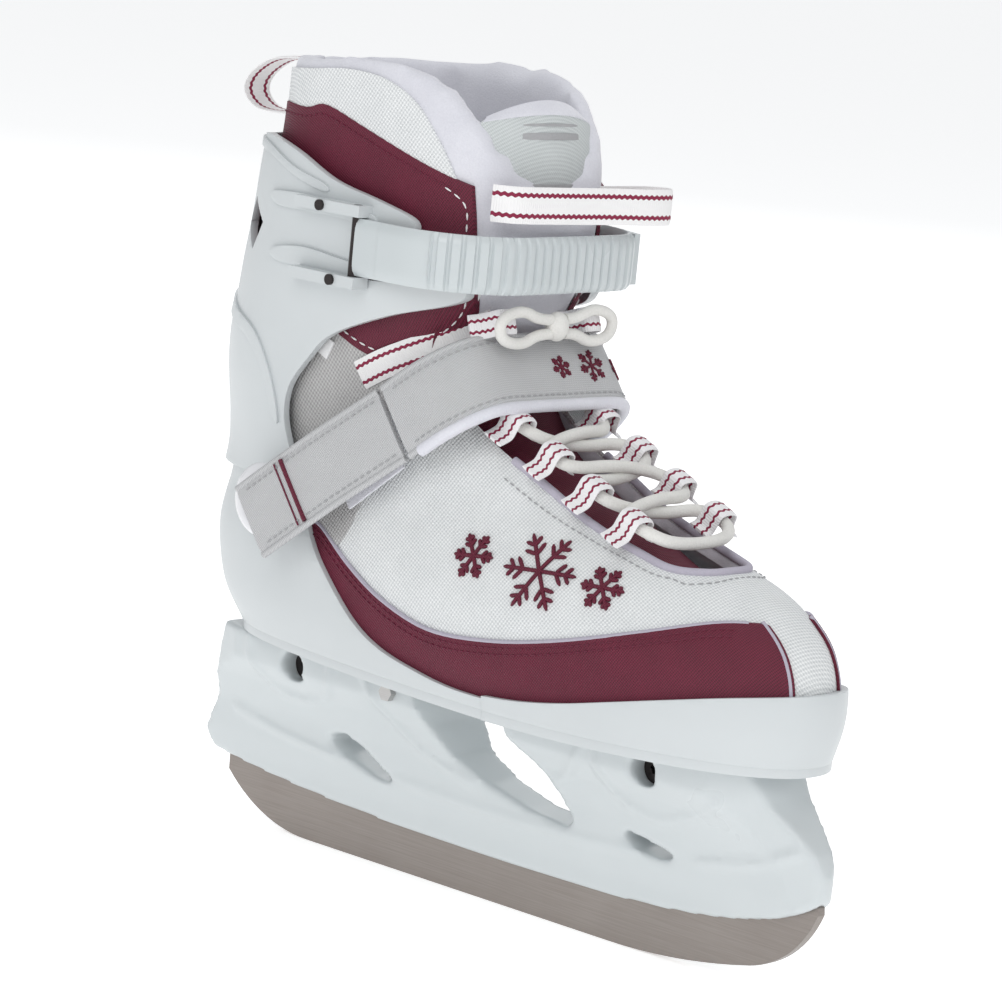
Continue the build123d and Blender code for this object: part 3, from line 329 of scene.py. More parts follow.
PLUSH = finish_of(
    "plush", nap, {"Tip": rgb(0.74, 0.74, 0.79), "Root": rgb(0.56, 0.56, 0.62)}, roughness=0.9,
    bump=0.35, bump_size=0.0005, Sheen_Weight=0.35)
PIPING = finish_of(
    "piping", nap, {"Tip": rgb(0.50, 0.47, 0.55), "Root": rgb(0.34, 0.32, 0.38)}, roughness=0.85,
    bump=0.3, bump_size=0.0003)
LACE_CLOTH = finish_of(
    "lace_cord", nap, {"Tip": rgb(0.80, 0.79, 0.76), "Root": rgb(0.58, 0.57, 0.54)}, roughness=0.8,
    bump=0.4, bump_size=0.0004)
WHITE_THREAD = finish_of(
    "white_thread", nap, {"Tip": rgb(0.88, 0.86, 0.86), "Root": rgb(0.62, 0.60, 0.61)}, roughness=0.6,
    bump=0.2)
DARK_THREAD = finish_of(
    "dark_thread", nap, {"Tip": rgb(0.16, 0.01, 0.04), "Root": rgb(0.06, 0.002, 0.012)}, roughness=0.6,
    bump=0.2)
GREY_THREAD = finish_of(
    "grey_thread", nap, {"Tip": rgb(0.42, 0.42, 0.43), "Root": rgb(0.26, 0.26, 0.27)}, roughness=0.6,
    bump=0.2)
RIBBON = finish_of(
    "striped_ribbon", stripe, {"Cloth": rgb(0.86, 0.85, 0.85), "Line": MAROON}, roughness=0.7, bump=0.4,
    bump_size=0.0003)
LOOP_RIBBON = finish_of(
    "loop_ribbon", stripe, {"Cloth": rgb(0.84, 0.83, 0.84), "Line": MAROON, "Offset": 0.22,
    "Wave": 0.03}, roughness=0.7, bump=0.4, bump_size=0.0003)
FLOOR_PAPER = finish_of(
    "floor_paper", nap, {"Tip": rgb(0.96, 0.96, 0.96), "Root": rgb(0.94, 0.94, 0.94)}, roughness=0.85,
    bump=0.02, Emission_Color=rgb(1, 1, 1), Emission_Strength=0.5)
floor.data.materials.append(FLOOR_PAPER)
print("finishes", len(bpy.data.materials))

# %% Give the measured hard parts their finishes
NODE_FINISH = {
    "blade": BLADE_STEEL, "blade_holder": HOLDER_GREY, "holder_bolts": BLACK_STEEL,
        "holder_nuts": BLACK_STEEL,
    "pillar_screws": BRIGHT_STEEL, "heel_cup_sole": SHELL_GREY, "toe_rand": SHELL_GREY,
        "sole_screws": BLACK_STEEL,
    "lasting_board": PIPING, "foot_bed": PIPING, "cuff": SHELL_GREY, "pivot_rivets": BRIGHT_STEEL,
    "pivot_caps": STRAP_GREY, "strap_lugs": SHELL_GREY, "strap_hinge_pin": BLACK_STEEL,
        "strap_screws": BLACK_STEEL,
    "ladder_strap": STRAP_GREY, "buckle_base": STRAP_GREY, "buckle_rivet": BRIGHT_STEEL,
        "lever_pin": BLACK_STEEL,
    "pawl_pin": BLACK_STEEL, "buckle_lever": STRAP_GREY, "buckle_pawl": STRAP_GREY,
        "pawl_springs": BRIGHT_STEEL,
    "strap_rivet": BRIGHT_STEEL, "hook_patch": PIPING, "loop_patch": PIPING, "strap_underlay": PLUSH,
}
for label, material in NODE_FINISH.items():
    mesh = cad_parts[label].data
    for slot in range(len(mesh.materials)):
        mesh.materials[slot] = material
print("hard parts finished", len(NODE_FINISH))

# %% [markdown]
# ## The boot's form
# A real boot is sewn over a last, a solid foot shape. Here the last is a stack of level sections: each has
# a rear end, a front end, half widths at heel and ball, and a roundness. Panels are then cut from thin
# shells round this form, as a shoemaker cuts uppers, so neighbours always fit. A primitive could not follow
# a foot, so the stack's mesh is written in code, ring by ring.

# %% Sections of the last, in millimetres above the sole top
SECTIONS = [
    (0, -120, 139, 35, 45, .80), (12, -130, 142, 37, 47, .80), (24, -134, 142, 38, 46.5, .80),
    (34, -135, 138.5, 38.5, 45, .80), (42, -134, 131.5, 38.5, 42, .82), (50, -132, 119, 38.5, 38.5, .85),
    (57, -131, 98, 38.5, 35.5, .88), (65, -130, 70, 38.5, 34, .88), (75, -130, 47, 39, 33.5, .85),
    (85, -130, 23, 39.5, 34, .80), (95, -130, 4, 40, 36, .76), (108, -129, -8, 40.5, 38, .72),
    (120, -127, -6, 41, 39.5, .70), (132, -125, -1, 41.5, 41, .68), (146, -122, 4, 42, 42, .66),
    (165, -119, 6, 43, 42, .66), (185, -117, 7, 43, 41, .68), (212, -117, 5, 43, 40, .72)]
AROUND = 112
HEEL_ROUNDING = 0.34          # how much rounder the back of the leg is than the section says
TOE_ROUNDING = 0.12
STEP = 1.8


def section_at(height):
    """Rear, front, half widths and roundness at a height, eased between the listed sections."""
    for k in range(len(SECTIONS) - 1):
        if height <= SECTIONS[k + 1][0] or k == len(SECTIONS) - 2:
            break
    low, high = SECTIONS[k], SECTIONS[k + 1]
    before = SECTIONS[max(k - 1, 0)]
    after = SECTIONS[min(k + 2, len(SECTIONS) - 1)]
    span = high[0] - low[0]
    t = (height - low[0]) / span
    values = []
    for c in range(1, 6):
        left = (high[c] - before[c]) / (high[0] - before[0]) * span
        right_slope = (after[c] - low[c]) / (after[0] - low[0]) * span
        values.append((2 * t**3 - 3 * t**2 + 1) * low[c] + (t**3 - 2 * t**2 + t) * left
                      + (3 * t**2 - 2 * t**3) * high[c] + (t**3 - t**2) * right_slope)
    return values


def last_point(height, turn):
    """One point of the last, in metres."""
    rear, front, heel, ball, power = section_at(height)
    c, s = math.cos(turn), math.sin(turn)
    if c < 0:
        power += HEEL_ROUNDING * min(max((height - 55) / 60, 0.0), 1.0) * -c
    else:
        power += TOE_ROUNDING * min(max((62 - height) / 30, 0.0), 1.0) * c
    u = math.copysign(abs(c) ** power, c)
    t = min(max((u + 0.8) / 1.3, 0.0), 1.0)
    side = heel + (ball - heel) * t * t * (3 - 2 * t)
    return Vector(((rear + front) / 2 + (front - rear) / 2 * u, math.copysign(side * abs(s) ** power, s),
                   height)) / 1000 + Vector((0, 0, SOLE_TOP))


LEVELS = [k * STEP for k in range(int(212 / STEP) + 1)]
RINGS = [[last_point(h, 2 * math.pi * k / AROUND) for k in range(AROUND)] for h in LEVELS]


def new_mesh(name, verts, faces):
    """A mesh object from lists, with outward normals left as given."""
    mesh = bpy.data.meshes.new(name)
    mesh.from_pydata(verts, [], faces)
    mesh.update()
    piece = bpy.data.objects.new(name, mesh)
    bpy.context.scene.collection.objects.link(piece)
    return piece


def ring_faces(rows, around, base=0, flip=False):
    """Quads between neighbouring rings of a stack."""
    faces = []
    for r in range(rows - 1):
        for k in range(around):
            a, b = base + r * around + k, base + r * around + (k + 1) % around
            quad = (a, b, b + around, a + around)
            faces.append(quad[::-1] if flip else quad)
    return faces


last_mesh = new_mesh("last_probe", [p for ring in RINGS for p in ring], ring_faces(len(RINGS), AROUND))
NORMALS = [v.normal.copy() for v in last_mesh.data.vertices]
LAST_TREE = BVHTree.FromPolygons([p for ring in RINGS for p in ring], ring_faces(len(RINGS), AROUND))
bpy.data.objects.remove(last_mesh)
print("last:", len(RINGS), "rings of", AROUND)

# %% [markdown]
# ## Cutting panels
# A panel is the part of a thin shell round the last that lies inside an outline drawn from the side. The
# outline is extruded into a cutter and a Boolean keeps what is inside; a small bevel then turns the cut
# edge, as a folded fabric edge is. Round outlines come from a few points; a point given twice is a corner.

# %% Outline, shell and panel helpers
def activate(piece):
    """Make one piece the only selected, active object."""
    bpy.ops.object.select_all(action="DESELECT")
    piece.select_set(True)
    bpy.context.view_layer.objects.active = piece


def face_outwards(piece):
    """Turn every face of a closed mesh to the outside."""
    activate(piece)
    bpy.ops.object.mode_set(mode="EDIT")
    bpy.ops.mesh.select_all(action="SELECT")
    bpy.ops.mesh.normals_make_consistent(inside=False)
    bpy.ops.object.mode_set(mode="OBJECT")


def apply_modifier(piece, kind, **settings):
    """Add one modifier with its settings and apply it."""
    activate(piece)
    modifier = piece.modifiers.new(kind.lower(), kind)
    for label, value in settings.items():
        setattr(modifier, label, value)
    bpy.ops.object.modifier_apply(modifier=modifier.name)
    return piece


def rounded(points, closed=True, density=6):
    """Points along a smooth curve through the given ones. A point given twice stays a corner."""
    count = len(points)
    result = []
    for k in range(count if closed else count - 1):
        p0, p1, p2, p3 = (Vector(points[i % count] if closed else points[min(max(i, 0), count - 1)])
                          for i in (k - 1, k, k + 1, k + 2))
        if (p2 - p1).length < 1e-6:
            continue
        m1 = (p2 - p0) / 2 if (p1 - p0).length > 1e-6 else (p2 - p1) * 0.0
        m2 = (p3 - p1) / 2 if (p3 - p2).length > 1e-6 else (p2 - p1) * 0.0
        for j in range(density):
            t = j / density
            result.append(p1 * (2 * t**3 - 3 * t**2 + 1) + m1 * (t**3 - 2 * t**2 + t)
                          + p2 * (3 * t**2 - 2 * t**3) + m2 * (t**3 - t**2))
    if not closed:
        result.append(Vector(points[-1]))
    return result


def prism(outline, direction, start, stop):
    """A cutter: an outline in millimetres, extruded along Y or Z between two places in millimetres."""
    flat = rounded(outline)
    count = len(flat)
    verts = []
    for along in (start, stop):
        for a, b in flat:
            verts.append(Vector((a, along, b) if direction == "Y" else (a, b, along)) / 1000)
    faces = [tuple(range(count)), tuple(range(2 * count - 1, count - 1, -1))]
    faces += [(k, (k + 1) % count, count + (k + 1) % count, count + k) for k in range(count)]
    cutter = new_mesh("cutter", verts, faces)
    face_outwards(cutter)
    return cutter


def shell(inner, outer, low=0.0, high=212.0):
    """A closed wall round the last between two offsets and two heights, in millimetres."""
    rows = [r for r, h in enumerate(LEVELS) if low - STEP < h < high + STEP]
    verts = []
    for grow in (outer, inner):
        for r in rows:
            for k in range(AROUND):
                verts.append(RINGS[r][k] + NORMALS[r * AROUND + k] * grow / 1000)
    count = len(rows) * AROUND
    faces = ring_faces(len(rows), AROUND) + ring_faces(len(rows), AROUND, count, True)
    top = (len(rows) - 1) * AROUND
    for k in range(AROUND):
        n = (k + 1) % AROUND
        faces.append((k, count + k, count + n, n))
        faces.append((top + n, count + top + n, count + top + k, top + k))
    return new_mesh("shell", verts, faces)


def cut(piece, cutter, operation):
    """Boolean with a cutter, which is then thrown away."""
    apply_modifier(piece, "BOOLEAN", operation=operation, solver="EXACT", object=cutter)
    bpy.data.objects.remove(cutter)
    return piece


def finish_piece(piece, name, material, body, replaces=(), bevel=0.0, angle=35):
    """Name a piece, round its edges, give it its finish and tell the frame what it rides on."""
    piece.name = name
    piece.data.name = name
    if bevel:
        apply_modifier(piece, "BEVEL", width=bevel / 1000, segments=2, limit_method="ANGLE",
                       angle_limit=math.radians(50), use_clamp_overlap=True)
    activate(piece)
    bpy.ops.object.shade_smooth_by_angle(angle=math.radians(angle))
    piece.data.materials.clear()
    piece.data.materials.append(material)
    if isinstance(body, str):
        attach(piece, body)
    else:
        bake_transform(piece)
    if replaces:
        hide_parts(*replaces)
    print(name, len(piece.data.polygons), "faces")
    return piece


BOTH = (-90, 90)
MEDIAL = (-90, -6)
LATERAL = (6, 90)
ANKLE = ("boot", "cuff", (0, 0, 0.178), (0, 0, 0.215))

# %% Outlines seen from the side, in millimetres (X, Z)
LOWER_UPPER = [(-150, 80), (-150, 80), (160, 80), (160, 80), (160, 160), (160, 160), (60, 210), (-8, 222),
               (-30, 224), (-150, 224), (-150, 224)]
THROAT = [(-66, -27), (-66, -27), (-30, -26), (5, -24), (40, -21.5), (72, -20), (88, -18), (97, -10), (99, 0),
          (97, 10), (88, 18), (72, 20), (40, 21.5), (5, 24), (-30, 26), (-66, 27), (-66, 27)]
SIDE_FOXING = [(-75, 79), (-75, 79), (-72, 128), (-59, 124), (-42.5, 115), (-22, 106.5), (3.5, 101),
               (32, 103),
               (60, 108.5), (90, 117), (114, 124), (128, 124.5), (141, 118), (149, 108), (158, 96), (158, 79),
               (158, 79)]
COLLAR_SIDE = [(-140, 188), (-140, 188), (-140, 286), (-140, 286), (-105, 287), (-80, 288.5), (-62, 291.5),
               (-41, 291), (-22, 285.5), (-7, 271), (1, 256), (3.5, 238), (2, 219), (-5, 202.5), (-27, 188),
               (-45, 186), (-66, 188), (-66, 188)]
COLLAR_MAROON = [(-135, 196), (-135, 196), (-122, 262), (-122, 262), (-104, 270), (-81, 270.5), (-70, 272.5),
                 (-51, 267), (-26, 259), (-5.5, 252.5), (-5.5, 252.5), (-4, 236), (-5, 217), (-10.5, 202),
                 (-27, 187.5), (-45, 189), (-62, 196), (-80, 200), (-80, 200)]
QUARTER = [(-128, 120), (-128, 120), (-128, 214), (-128, 214), (-62, 206), (-30, 196), (-22, 190), (-34, 170),
           (-40, 140), (-48, 121), (-60, 118), (-60, 118)]


def panel(name, outline, inner, outer, span, material, body, replaces=(), bevel=0.35, throat=False,
          low=0.0, high=212.0):
    """A fabric panel: an outline cut from a thin shell round the last."""
    piece = shell(inner, outer, low, high)
    cut(piece, prism(outline, "Y", *span), "INTERSECT")
    if throat:
        cut(piece, prism(THROAT, "Z", 110, 330), "DIFFERENCE")
    return finish_piece(piece, name, material, body, replaces, bevel)


# %% [markdown]
# ## The uppers
# White mesh covers the whole forefoot and the ankle, where it is painted darker grey as painted shade; a
# burgundy woven foxing wraps the side over the rand. Each layer stands a little prouder than the one it is
# sewn on.

# %% Uppers
panel("vamp_mesh", LOWER_UPPER, -1.4, 0.0, BOTH, WHITE_MESH, ANKLE, ["vamp"], throat=True,
    high=150)
for word, span in (("medial", MEDIAL), ("lateral", LATERAL)):
    # The quarter wears the white mesh with painted shade in its colour.
    panel("quarter_mesh_" + word, QUARTER, -0.2, 0.7, span, WHITE_MESH_PAINTED_SHADE, ANKLE, ["quarter_" + word],
          throat=True, low=30, high=150)
    panel("side_foxing_" + word, SIDE_FOXING, -0.2, 1.1, (-90, -11.5) if word == "medial" else (11.5, 90),
          MAROON_WEAVE, "boot", ["side_panel_" + word], high=62)
    panel("collar_maroon_" + word, COLLAR_MAROON, -0.4, 1.0, span, MAROON_WEAVE, "cuff",
          ["collar_panel_" + word], low=100)
panel("collar_mesh_top", [(-140, 250), (-140, 250), (-140, 279), (-140, 279), (-118, 281), (-82, 284),
                          (-62, 286),
                          (-44, 284.5), (-29, 277.5), (-17, 264), (-10.5, 253), (-10.5, 253), (-51, 262),
                          (-81, 266),
                              (-81, 266)], -0.4, 0.6, BOTH, WHITE_MESH, "cuff", ["collar_mesh"],
      low=160)
lining = panel("lower_lining_cloth", [(-150, 80.2), (-150, 80.2), (160, 80.2), (160, 80.2), (160, 160),
                                      (160, 160),
                                      (60, 210), (-6, 214), (-30, 214), (-150, 214), (-150, 214)],
               -4.6, -1.5, BOTH, PLUSH, ANKLE, ["lower_lining"], throat=True, high=150)

# %% [markdown]
# ## The padded collar
# The collar is plush cloth over thick foam. It starts as a wall round the last, is remeshed into even cells,
# and is inflated by the cloth simulation, which gives the soft swollen rim that a bevel can't.

# %% Collar padding
def inflate(piece, cell, pressure, frames, cap):
    """Remesh a closed pad, blow it up a little as cloth, cap how far each point moves, and smooth it."""
    apply_modifier(piece, "REMESH", mode="VOXEL", voxel_size=cell / 1000, adaptivity=0.0)
    before = [v.co.copy() for v in piece.data.vertices]
    activate(piece)
    cloth = piece.modifiers.new("cloth", "CLOTH")
    cloth.settings.use_pressure = True
    cloth.settings.uniform_pressure_force = pressure
    cloth.settings.tension_stiffness = 30
    cloth.settings.compression_stiffness = 30
    cloth.settings.effector_weights.gravity = 0.0
    scene = bpy.context.scene
    for frame_number in range(1, frames + 1):
        scene.frame_set(frame_number)
    bpy.ops.object.modifier_apply(modifier=cloth.name)
    scene.frame_set(1)
    for vertex, old in zip(piece.data.vertices, before):
        moved = vertex.co - old
        if moved.length > cap / 1000:
            vertex.co = old + moved.normalized() * cap / 1000
    apply_modifier(piece, "SMOOTH", factor=0.6, iterations=4)
    apply_modifier(piece, "SUBSURF", levels=1, render_levels=1)
    return piece


padding = shell(-9.0, -0.6, 96, 212)
cut(padding, prism(COLLAR_SIDE, "Y", -90, 90), "INTERSECT")
inflate(padding, 3.5, 3.0, 16, 2.0)
finish_piece(padding, "collar_padding_plush", PLUSH, "cuff", ["collar_padding"])

# %% [markdown]
# ## The tongue
# The tongue is a long padded flap under the laces. It is a strip that follows the instep's profile, crowned
# across its width, with a plush upper end. The strip is written row by row, because it bends two ways.

# %% Tongue
TONGUE_LINE = [(101, 125.5, 15), (88, 131, 20.5), (70, 137.8, 22.5), (50, 146.5, 24), (28, 155.5, 25.5),
               (8, 165.5, 27),
               (-6, 180, 31), (-9, 192, 32), (-6, 205, 32), (-2, 220, 32), (0.5, 238, 32), (0, 256, 31),
               (-1.5, 269, 29), (-3, 277, 27), (-6, 281, 24)]


def tongue_strip(name, first, last, lift, thickness, material, body, replaces=(), narrow=1.0):
    """A crowned strip of the tongue between two places along its line, 0 at the toe and 1 at the top."""
    line = rounded([(x, z, w) for x, z, w in TONGUE_LINE], closed=False, density=8)
    line = line[int(first * (len(line) - 1)):int(last * (len(line) - 1)) + 1]
    columns = 22
    verts = []
    for k, (x, z, w) in enumerate(line):
        ahead = line[min(k + 1, len(line) - 1)] - line[max(k - 1, 0)]
        normal = Vector((-ahead[1], ahead[0])).normalized() * (-1 if ahead[0] < 0 and ahead[1] < 0 else 1)
        if normal[0] < 0:
            normal = -normal
        for c in range(columns + 1):
            side = -1 + 2 * c / columns
            drop = 9.0 * side * side - lift
            verts.append(Vector((x - normal[0] * drop, side * w * narrow, z - normal[1] * drop)) / 1000)
    rows = len(line)
    faces = [(r * (columns + 1) + c, (r + 1) * (columns + 1) + c, (r + 1) * (columns + 1) + c + 1,
              r * (columns + 1) + c + 1) for r in range(rows - 1) for c in range(columns)]
    piece = new_mesh(name, verts, faces)
    if piece.data.polygons[len(faces) // 2].normal.x < 0:
        piece.data.flip_normals()
    apply_modifier(piece, "SOLIDIFY", thickness=thickness / 1000, offset=-1.0)
    return finish_piece(piece, name, material, body, replaces, bevel=0.8)


lower_tongue = tongue_strip("tongue_maroon", 0.0, 0.74, -0.8, 3.0, MAROON_WEAVE, ANKLE, ["tongue_lower"])
upper_tongue = tongue_strip("tongue_grey", 0.70, 0.955, 1.6, 3.2, TONGUE_CLOTH, "cuff", ["tongue_upper"])
top_edge = tongue_strip("tongue_plush_top", 0.93, 1.0, 2.0, 5.5, PLUSH, "cuff", ())
for number, (a, b) in enumerate(((0.865, 0.88), (0.895, 0.91))):
    tongue_strip("tongue_line_" + str(number), a, b, 2.1, 0.6, GREY_THREAD, "cuff", (),
        narrow=0.9)
for number, (a, b) in enumerate(((0.735, 0.75), (0.765, 0.78))):
    tongue_strip("tongue_bar_" + str(number), a, b, 2.1, 0.6, GREY_THREAD, "cuff", (),
        narrow=0.9)

# %% [markdown]
# ## Moulded shells
# The heel cup, the toe rand and the hinged cuff are moulded to the same last, a few millimetres outside the
# cloth. They are cut from thicker shells with the same outlines as the measured parts, and every edge gets a
# moulded radius.

# %% Heel cup with the sole plate, and the toe rand
CUP_LINE = [(-160, 79), (-160, 79), (34, 79), (34, 79), (34, 83.5), (34, 83.5), (17, 83.6), (0, 85.5),
            (-20, 89.5),
            (-36, 97), (-53, 111), (-62, 121), (-65.5, 129), (-66, 137), (-72, 142.5), (-85, 144), (-98, 143),
            (-120, 142), (-160, 142), (-160, 142)]
RAND_LINE = [(34.4, 79), (34.4, 79), (34.4, 84.5), (34.4, 84.5), (50, 86), (68, 89), (88, 93.5), (108, 98),
             (128, 102), (150, 105), (165, 106), (165, 106), (165, 79), (165, 79)]
cup = shell(0.4, 3.2, 0, 70)
cut(cup, prism(CUP_LINE, "Y", -90, 90), "INTERSECT")
rand = shell(0.4, 3.6, 0, 40)
cut(rand, prism(RAND_LINE, "Y", -90, 90), "INTERSECT")


def sole_outline(grow):
    """The plan of the last's lowest ring, grown outwards, in millimetres."""
    ring = [RINGS[0][k] + NORMALS[k] * grow / 1000 for k in range(0, AROUND, 2)]
    return [(p.x * 1000, p.y * 1000) for p in ring]


plate = prism(sole_outline(3.0), "Z", 76.05, 80.6)


def join(pieces):
    """Several meshes become one."""
    bpy.ops.object.select_all(action="DESELECT")
    for piece in pieces:
        piece.select_set(True)
    bpy.context.view_layer.objects.active = pieces[0]
    bpy.ops.object.join()
    return pieces[0]


front_plate = prism(sole_outline(3.4), "Z", 76.0, 80.8)
cut(front_plate, prism([(34.4, 60), (34.4, 60), (200, 60), (200, 60), (200, 120), (200, 120), (34.4, 120),
                        (34.4, 120)], "Y", -90, 90), "INTERSECT")
cut(plate, prism([(34.0, 60), (34.0, 60), (-200, 60), (-200, 60), (-200, 120), (-200, 120), (34.0, 120),
                  (34.0, 120)], "Y", -90, 90), "INTERSECT")
finish_piece(join([cup, plate]),
    "heel_cup_moulded", SHELL_GREY, "boot", ["heel_cup_sole"], 0.8)
finish_piece(join([rand, front_plate]),
    "toe_rand_moulded", SHELL_GREY, "boot", ["toe_rand"], 0.8)

# %% Cuff with its raised rails
CUFF_LINE = [(-160, 137), (-160, 137), (-110, 137), (-95, 138), (-88.5, 134), (-85, 125.5), (-78, 121),
             (-70, 125.5),
             (-66.5, 134), (-72, 146), (-77, 160), (-75, 172), (-66, 184), (-55, 194), (-31, 204),
                 (-10, 210.5),
             (-3.5, 214.5), (-6, 217.5), (-24, 216.5), (-40, 216), (-41, 219), (-43, 226), (-41, 234),
                 (-38, 235.5),
             (-24, 233.8), (-19, 235), (-21, 239.5), (-36, 243.7), (-57, 248), (-78, 256), (-98, 259),
                 (-120, 257),
             (-160, 255), (-160, 255)]
WINDOW_LINE = [(-105, 236), (-105, 236), (-95, 228), (-95, 228), (-102, 217.5), (-102, 217.5), (-112, 226),
               (-112, 226)]
cuff_shell = shell(3.9, 6.6, 36, 185)
cut(cuff_shell, prism(CUFF_LINE, "Y", -90, 90), "INTERSECT")
cut(cuff_shell, prism(WINDOW_LINE, "Y", -90, 90), "DIFFERENCE")
finish_piece(cuff_shell, "cuff_moulded", SHELL_GREY, "cuff", ["cuff"], 1.1)
RAILS = {"upper": [(-88, 240), (-70, 241.5), (-50, 240.3), (-36, 238.5), (-36, 234.5), (-50, 235.5),
                   (-68, 235.8),
                   (-84, 236)],
         "lower": [(-86, 220), (-70, 223), (-50, 221.5), (-38, 220), (-38, 215.8), (-50, 216.6), (-68, 216.5),
                   (-82, 216.5)],
         "crest": [(-128, 200), (-112, 196), (-94, 190), (-84, 176), (-80, 160), (-83, 160), (-88, 175),
                   (-97, 186),
                   (-113, 191), (-128, 195)],
         "brow": [(-130, 252), (-110, 254), (-92, 252.5), (-74, 246.5), (-60, 243.5), (-60, 246), (-76, 250),
                  (-94, 255.8), (-112, 257), (-130, 255)]}
for word, line in RAILS.items():
    for side_word, span in (("medial", MEDIAL), ("lateral", LATERAL)):
        rail = shell(6.0, 8.1 if word in ("upper", "lower") else 7.5, 60, 185)
        cut(rail, prism(line, "Y", *span), "INTERSECT")
        finish_piece(rail, "cuff_" + word + "_" + side_word, SHELL_GREY, "cuff", (), 0.7)

# %% [markdown]
# ## Pivot caps
# Each ankle pivot is closed by a glossy ring with a burgundy button in it. The ring is a flattened torus and
# the button is a flattened sphere.

# %% Pivot caps
PEARL = finish_of(
    "pearl_plastic", moulded, {"Base": rgb(0.80, 0.80, 0.82), "Shade": rgb(0.72, 0.72, 0.75),
    "Roughness": 0.18}, bump=0.02, Coat_Weight=0.4)
BUTTON = finish_of(
    "button_plastic", moulded, {"Base": MAROON, "Shade": rgb(0.16, 0.005, 0.03), "Roughness": 0.25},
    bump=0.02)
PIVOT = Vector((-0.078, 0.0, 0.1315))
for word, side in (("medial", -1), ("lateral", 1)):
    bpy.ops.mesh.primitive_torus_add(major_radius=0.0102, minor_radius=0.0031, major_segments=48,
                                     minor_segments=14,
                                     location=(PIVOT.x, side * 0.0492, PIVOT.z), rotation=(math.pi / 2, 0, 0))
    torus = bpy.context.object
    torus.scale = (1, 1, 0.55)
    bpy.ops.object.transform_apply(location=True, rotation=True, scale=True)
    finish_piece(torus, "pivot_ring_" + word, PEARL, "boot", ["pivot_caps"] if side < 0 else ())
    bpy.ops.mesh.primitive_uv_sphere_add(radius=0.0078, segments=32, ring_count=16,
                                         location=(PIVOT.x, side * 0.0490, PIVOT.z))
    dome = bpy.context.object
    dome.scale = (1, 0.22, 1)
    bpy.ops.object.transform_apply(location=True, rotation=True, scale=True)
    finish_piece(dome, "pivot_button_" + word, BUTTON, "boot", ())

# %% [markdown]
# ## Straps and ribbons
# A strap is a strip with a crowned section that follows a line. Its UV map runs along it and across it, so
# stripes and ribs follow every bend. One helper makes them all: webbing, ratchet strap and ribbon loops.

# %% Strip helper
def strip(name, line, across, width, thickness, crown=0.0, ribs=None, columns=8):
    """A strip of one width along a line of points, all in metres. ribs gives extra thickness at a length."""
    verts, rows = [], len(line)
    across = Vector(across).normalized()
    lengths = [0.0]
    for a, b in zip(line, line[1:]):
        lengths.append(lengths[-1] + (b - a).length)
    for r, point in enumerate(line):
        ahead = (line[min(r + 1, rows - 1)] - line[max(r - 1, 0)]).normalized()
        out = ahead.cross(across).normalized()
        raised = ribs(lengths[r]) if ribs else 0.0
        for c in range(columns + 1):
            side = -1 + 2 * c / columns
            edge = 1 - abs(side) ** 8 * 0.7
            verts.append(point + across * side * width / 2 + out * ((thickness / 2 + raised) * edge
                                                                    + crown * (1 - side * side)))
        for c in range(columns, -1, -1):
            side = -1 + 2 * c / columns
            edge = 1 - abs(side) ** 8 * 0.7
            verts.append(point + across * side * width / 2 + out * (crown * (1 - side * side)
                                                                    - thickness / 2 * edge))
    loop = 2 * (columns + 1)
    faces = ring_faces(rows, loop)
    faces += [tuple(range(loop))[::-1], tuple(range((rows - 1) * loop, rows * loop))]
    piece = new_mesh(name, verts, faces)
    layer = piece.data.uv_layers.new(name="strip")
    for polygon in piece.data.polygons:
        for corner in polygon.loop_indices:
            index = piece.data.loops[corner].vertex_index
            row, place_in_loop = divmod(index, loop)
            column = place_in_loop if place_in_loop <= columns else loop - 1 - place_in_loop
            layer.data[corner].uv = (lengths[row], column / columns)
    face_outwards(piece)
    return piece


def resample(line, step):
    """Evenly spaced points along a line of points."""
    result, spare = [line[0].copy()], 0.0
    for a, b in zip(line, line[1:]):
        run = (b - a).length
        travel = step - spare
        while travel <= run:
            result.append(a.lerp(b, travel / run))
            travel += step
        spare = run - (travel - step)
    return result


# %% Ratchet strap over the front of the cuff
RATCHET_WIDTH, RATCHET_THICKNESS = 0.0198, 0.0028
HINGE = Vector((-0.041, -0.05165))
STRAP_HEIGHT = 0.227
BEND, OUTER_BEND, TAIL = 0.030, 0.0218, 0.10508


def arc(start, heading, radius, degrees, count):
    """Points round a left-hand bend. Returns them with the new heading."""
    centre = start + Vector((-math.sin(heading), math.cos(heading))) * radius
    points = []
    for k in range(1, count + 1):
        a = heading - math.pi / 2 + math.radians(degrees) * k / count
        points.append(centre + Vector((math.cos(a), math.sin(a))) * radius)
    return points, heading + math.radians(degrees)


route = [HINGE + Vector((k * 0.0015, 0)) for k in range(15)]
bend_points, heading = arc(route[-1], 0.0, BEND, 94, 34)
route += bend_points
ahead = Vector((math.cos(heading), math.sin(heading)))
offset = route[-1] + Vector((-ahead.y, ahead.x)) * OUTER_BEND - HINGE
along = offset.dot(ahead)
run = math.sqrt(along ** 2 - offset.dot(offset) + (TAIL - OUTER_BEND) ** 2) - along
start = route[-1]
route += [start + ahead * run * k / 34 for k in range(1, 35)]
centre = offset + ahead * run
turn_left = math.degrees(math.atan2(centre.y, centre.x)) + 90 - 94
bend_points, heading = arc(route[-1], heading, OUTER_BEND, turn_left, 18)
route += bend_points
bend_points, heading = arc(route[-1], heading, TAIL, 26, 32)
route += bend_points
RATCHET_LINE = resample([Vector((p.x, p.y, STRAP_HEIGHT)) for p in route], 0.00065)


def ratchet_ribs(length):
    """Rounded ribs over the front of the strap, none near its hinge."""
    if not 0.034 < length < 0.20:
        return 0.0003 if length > 0.012 else 0.0
    phase = (length / 0.0046) % 1.0
    return 0.0011 if phase < 0.62 else 0.0


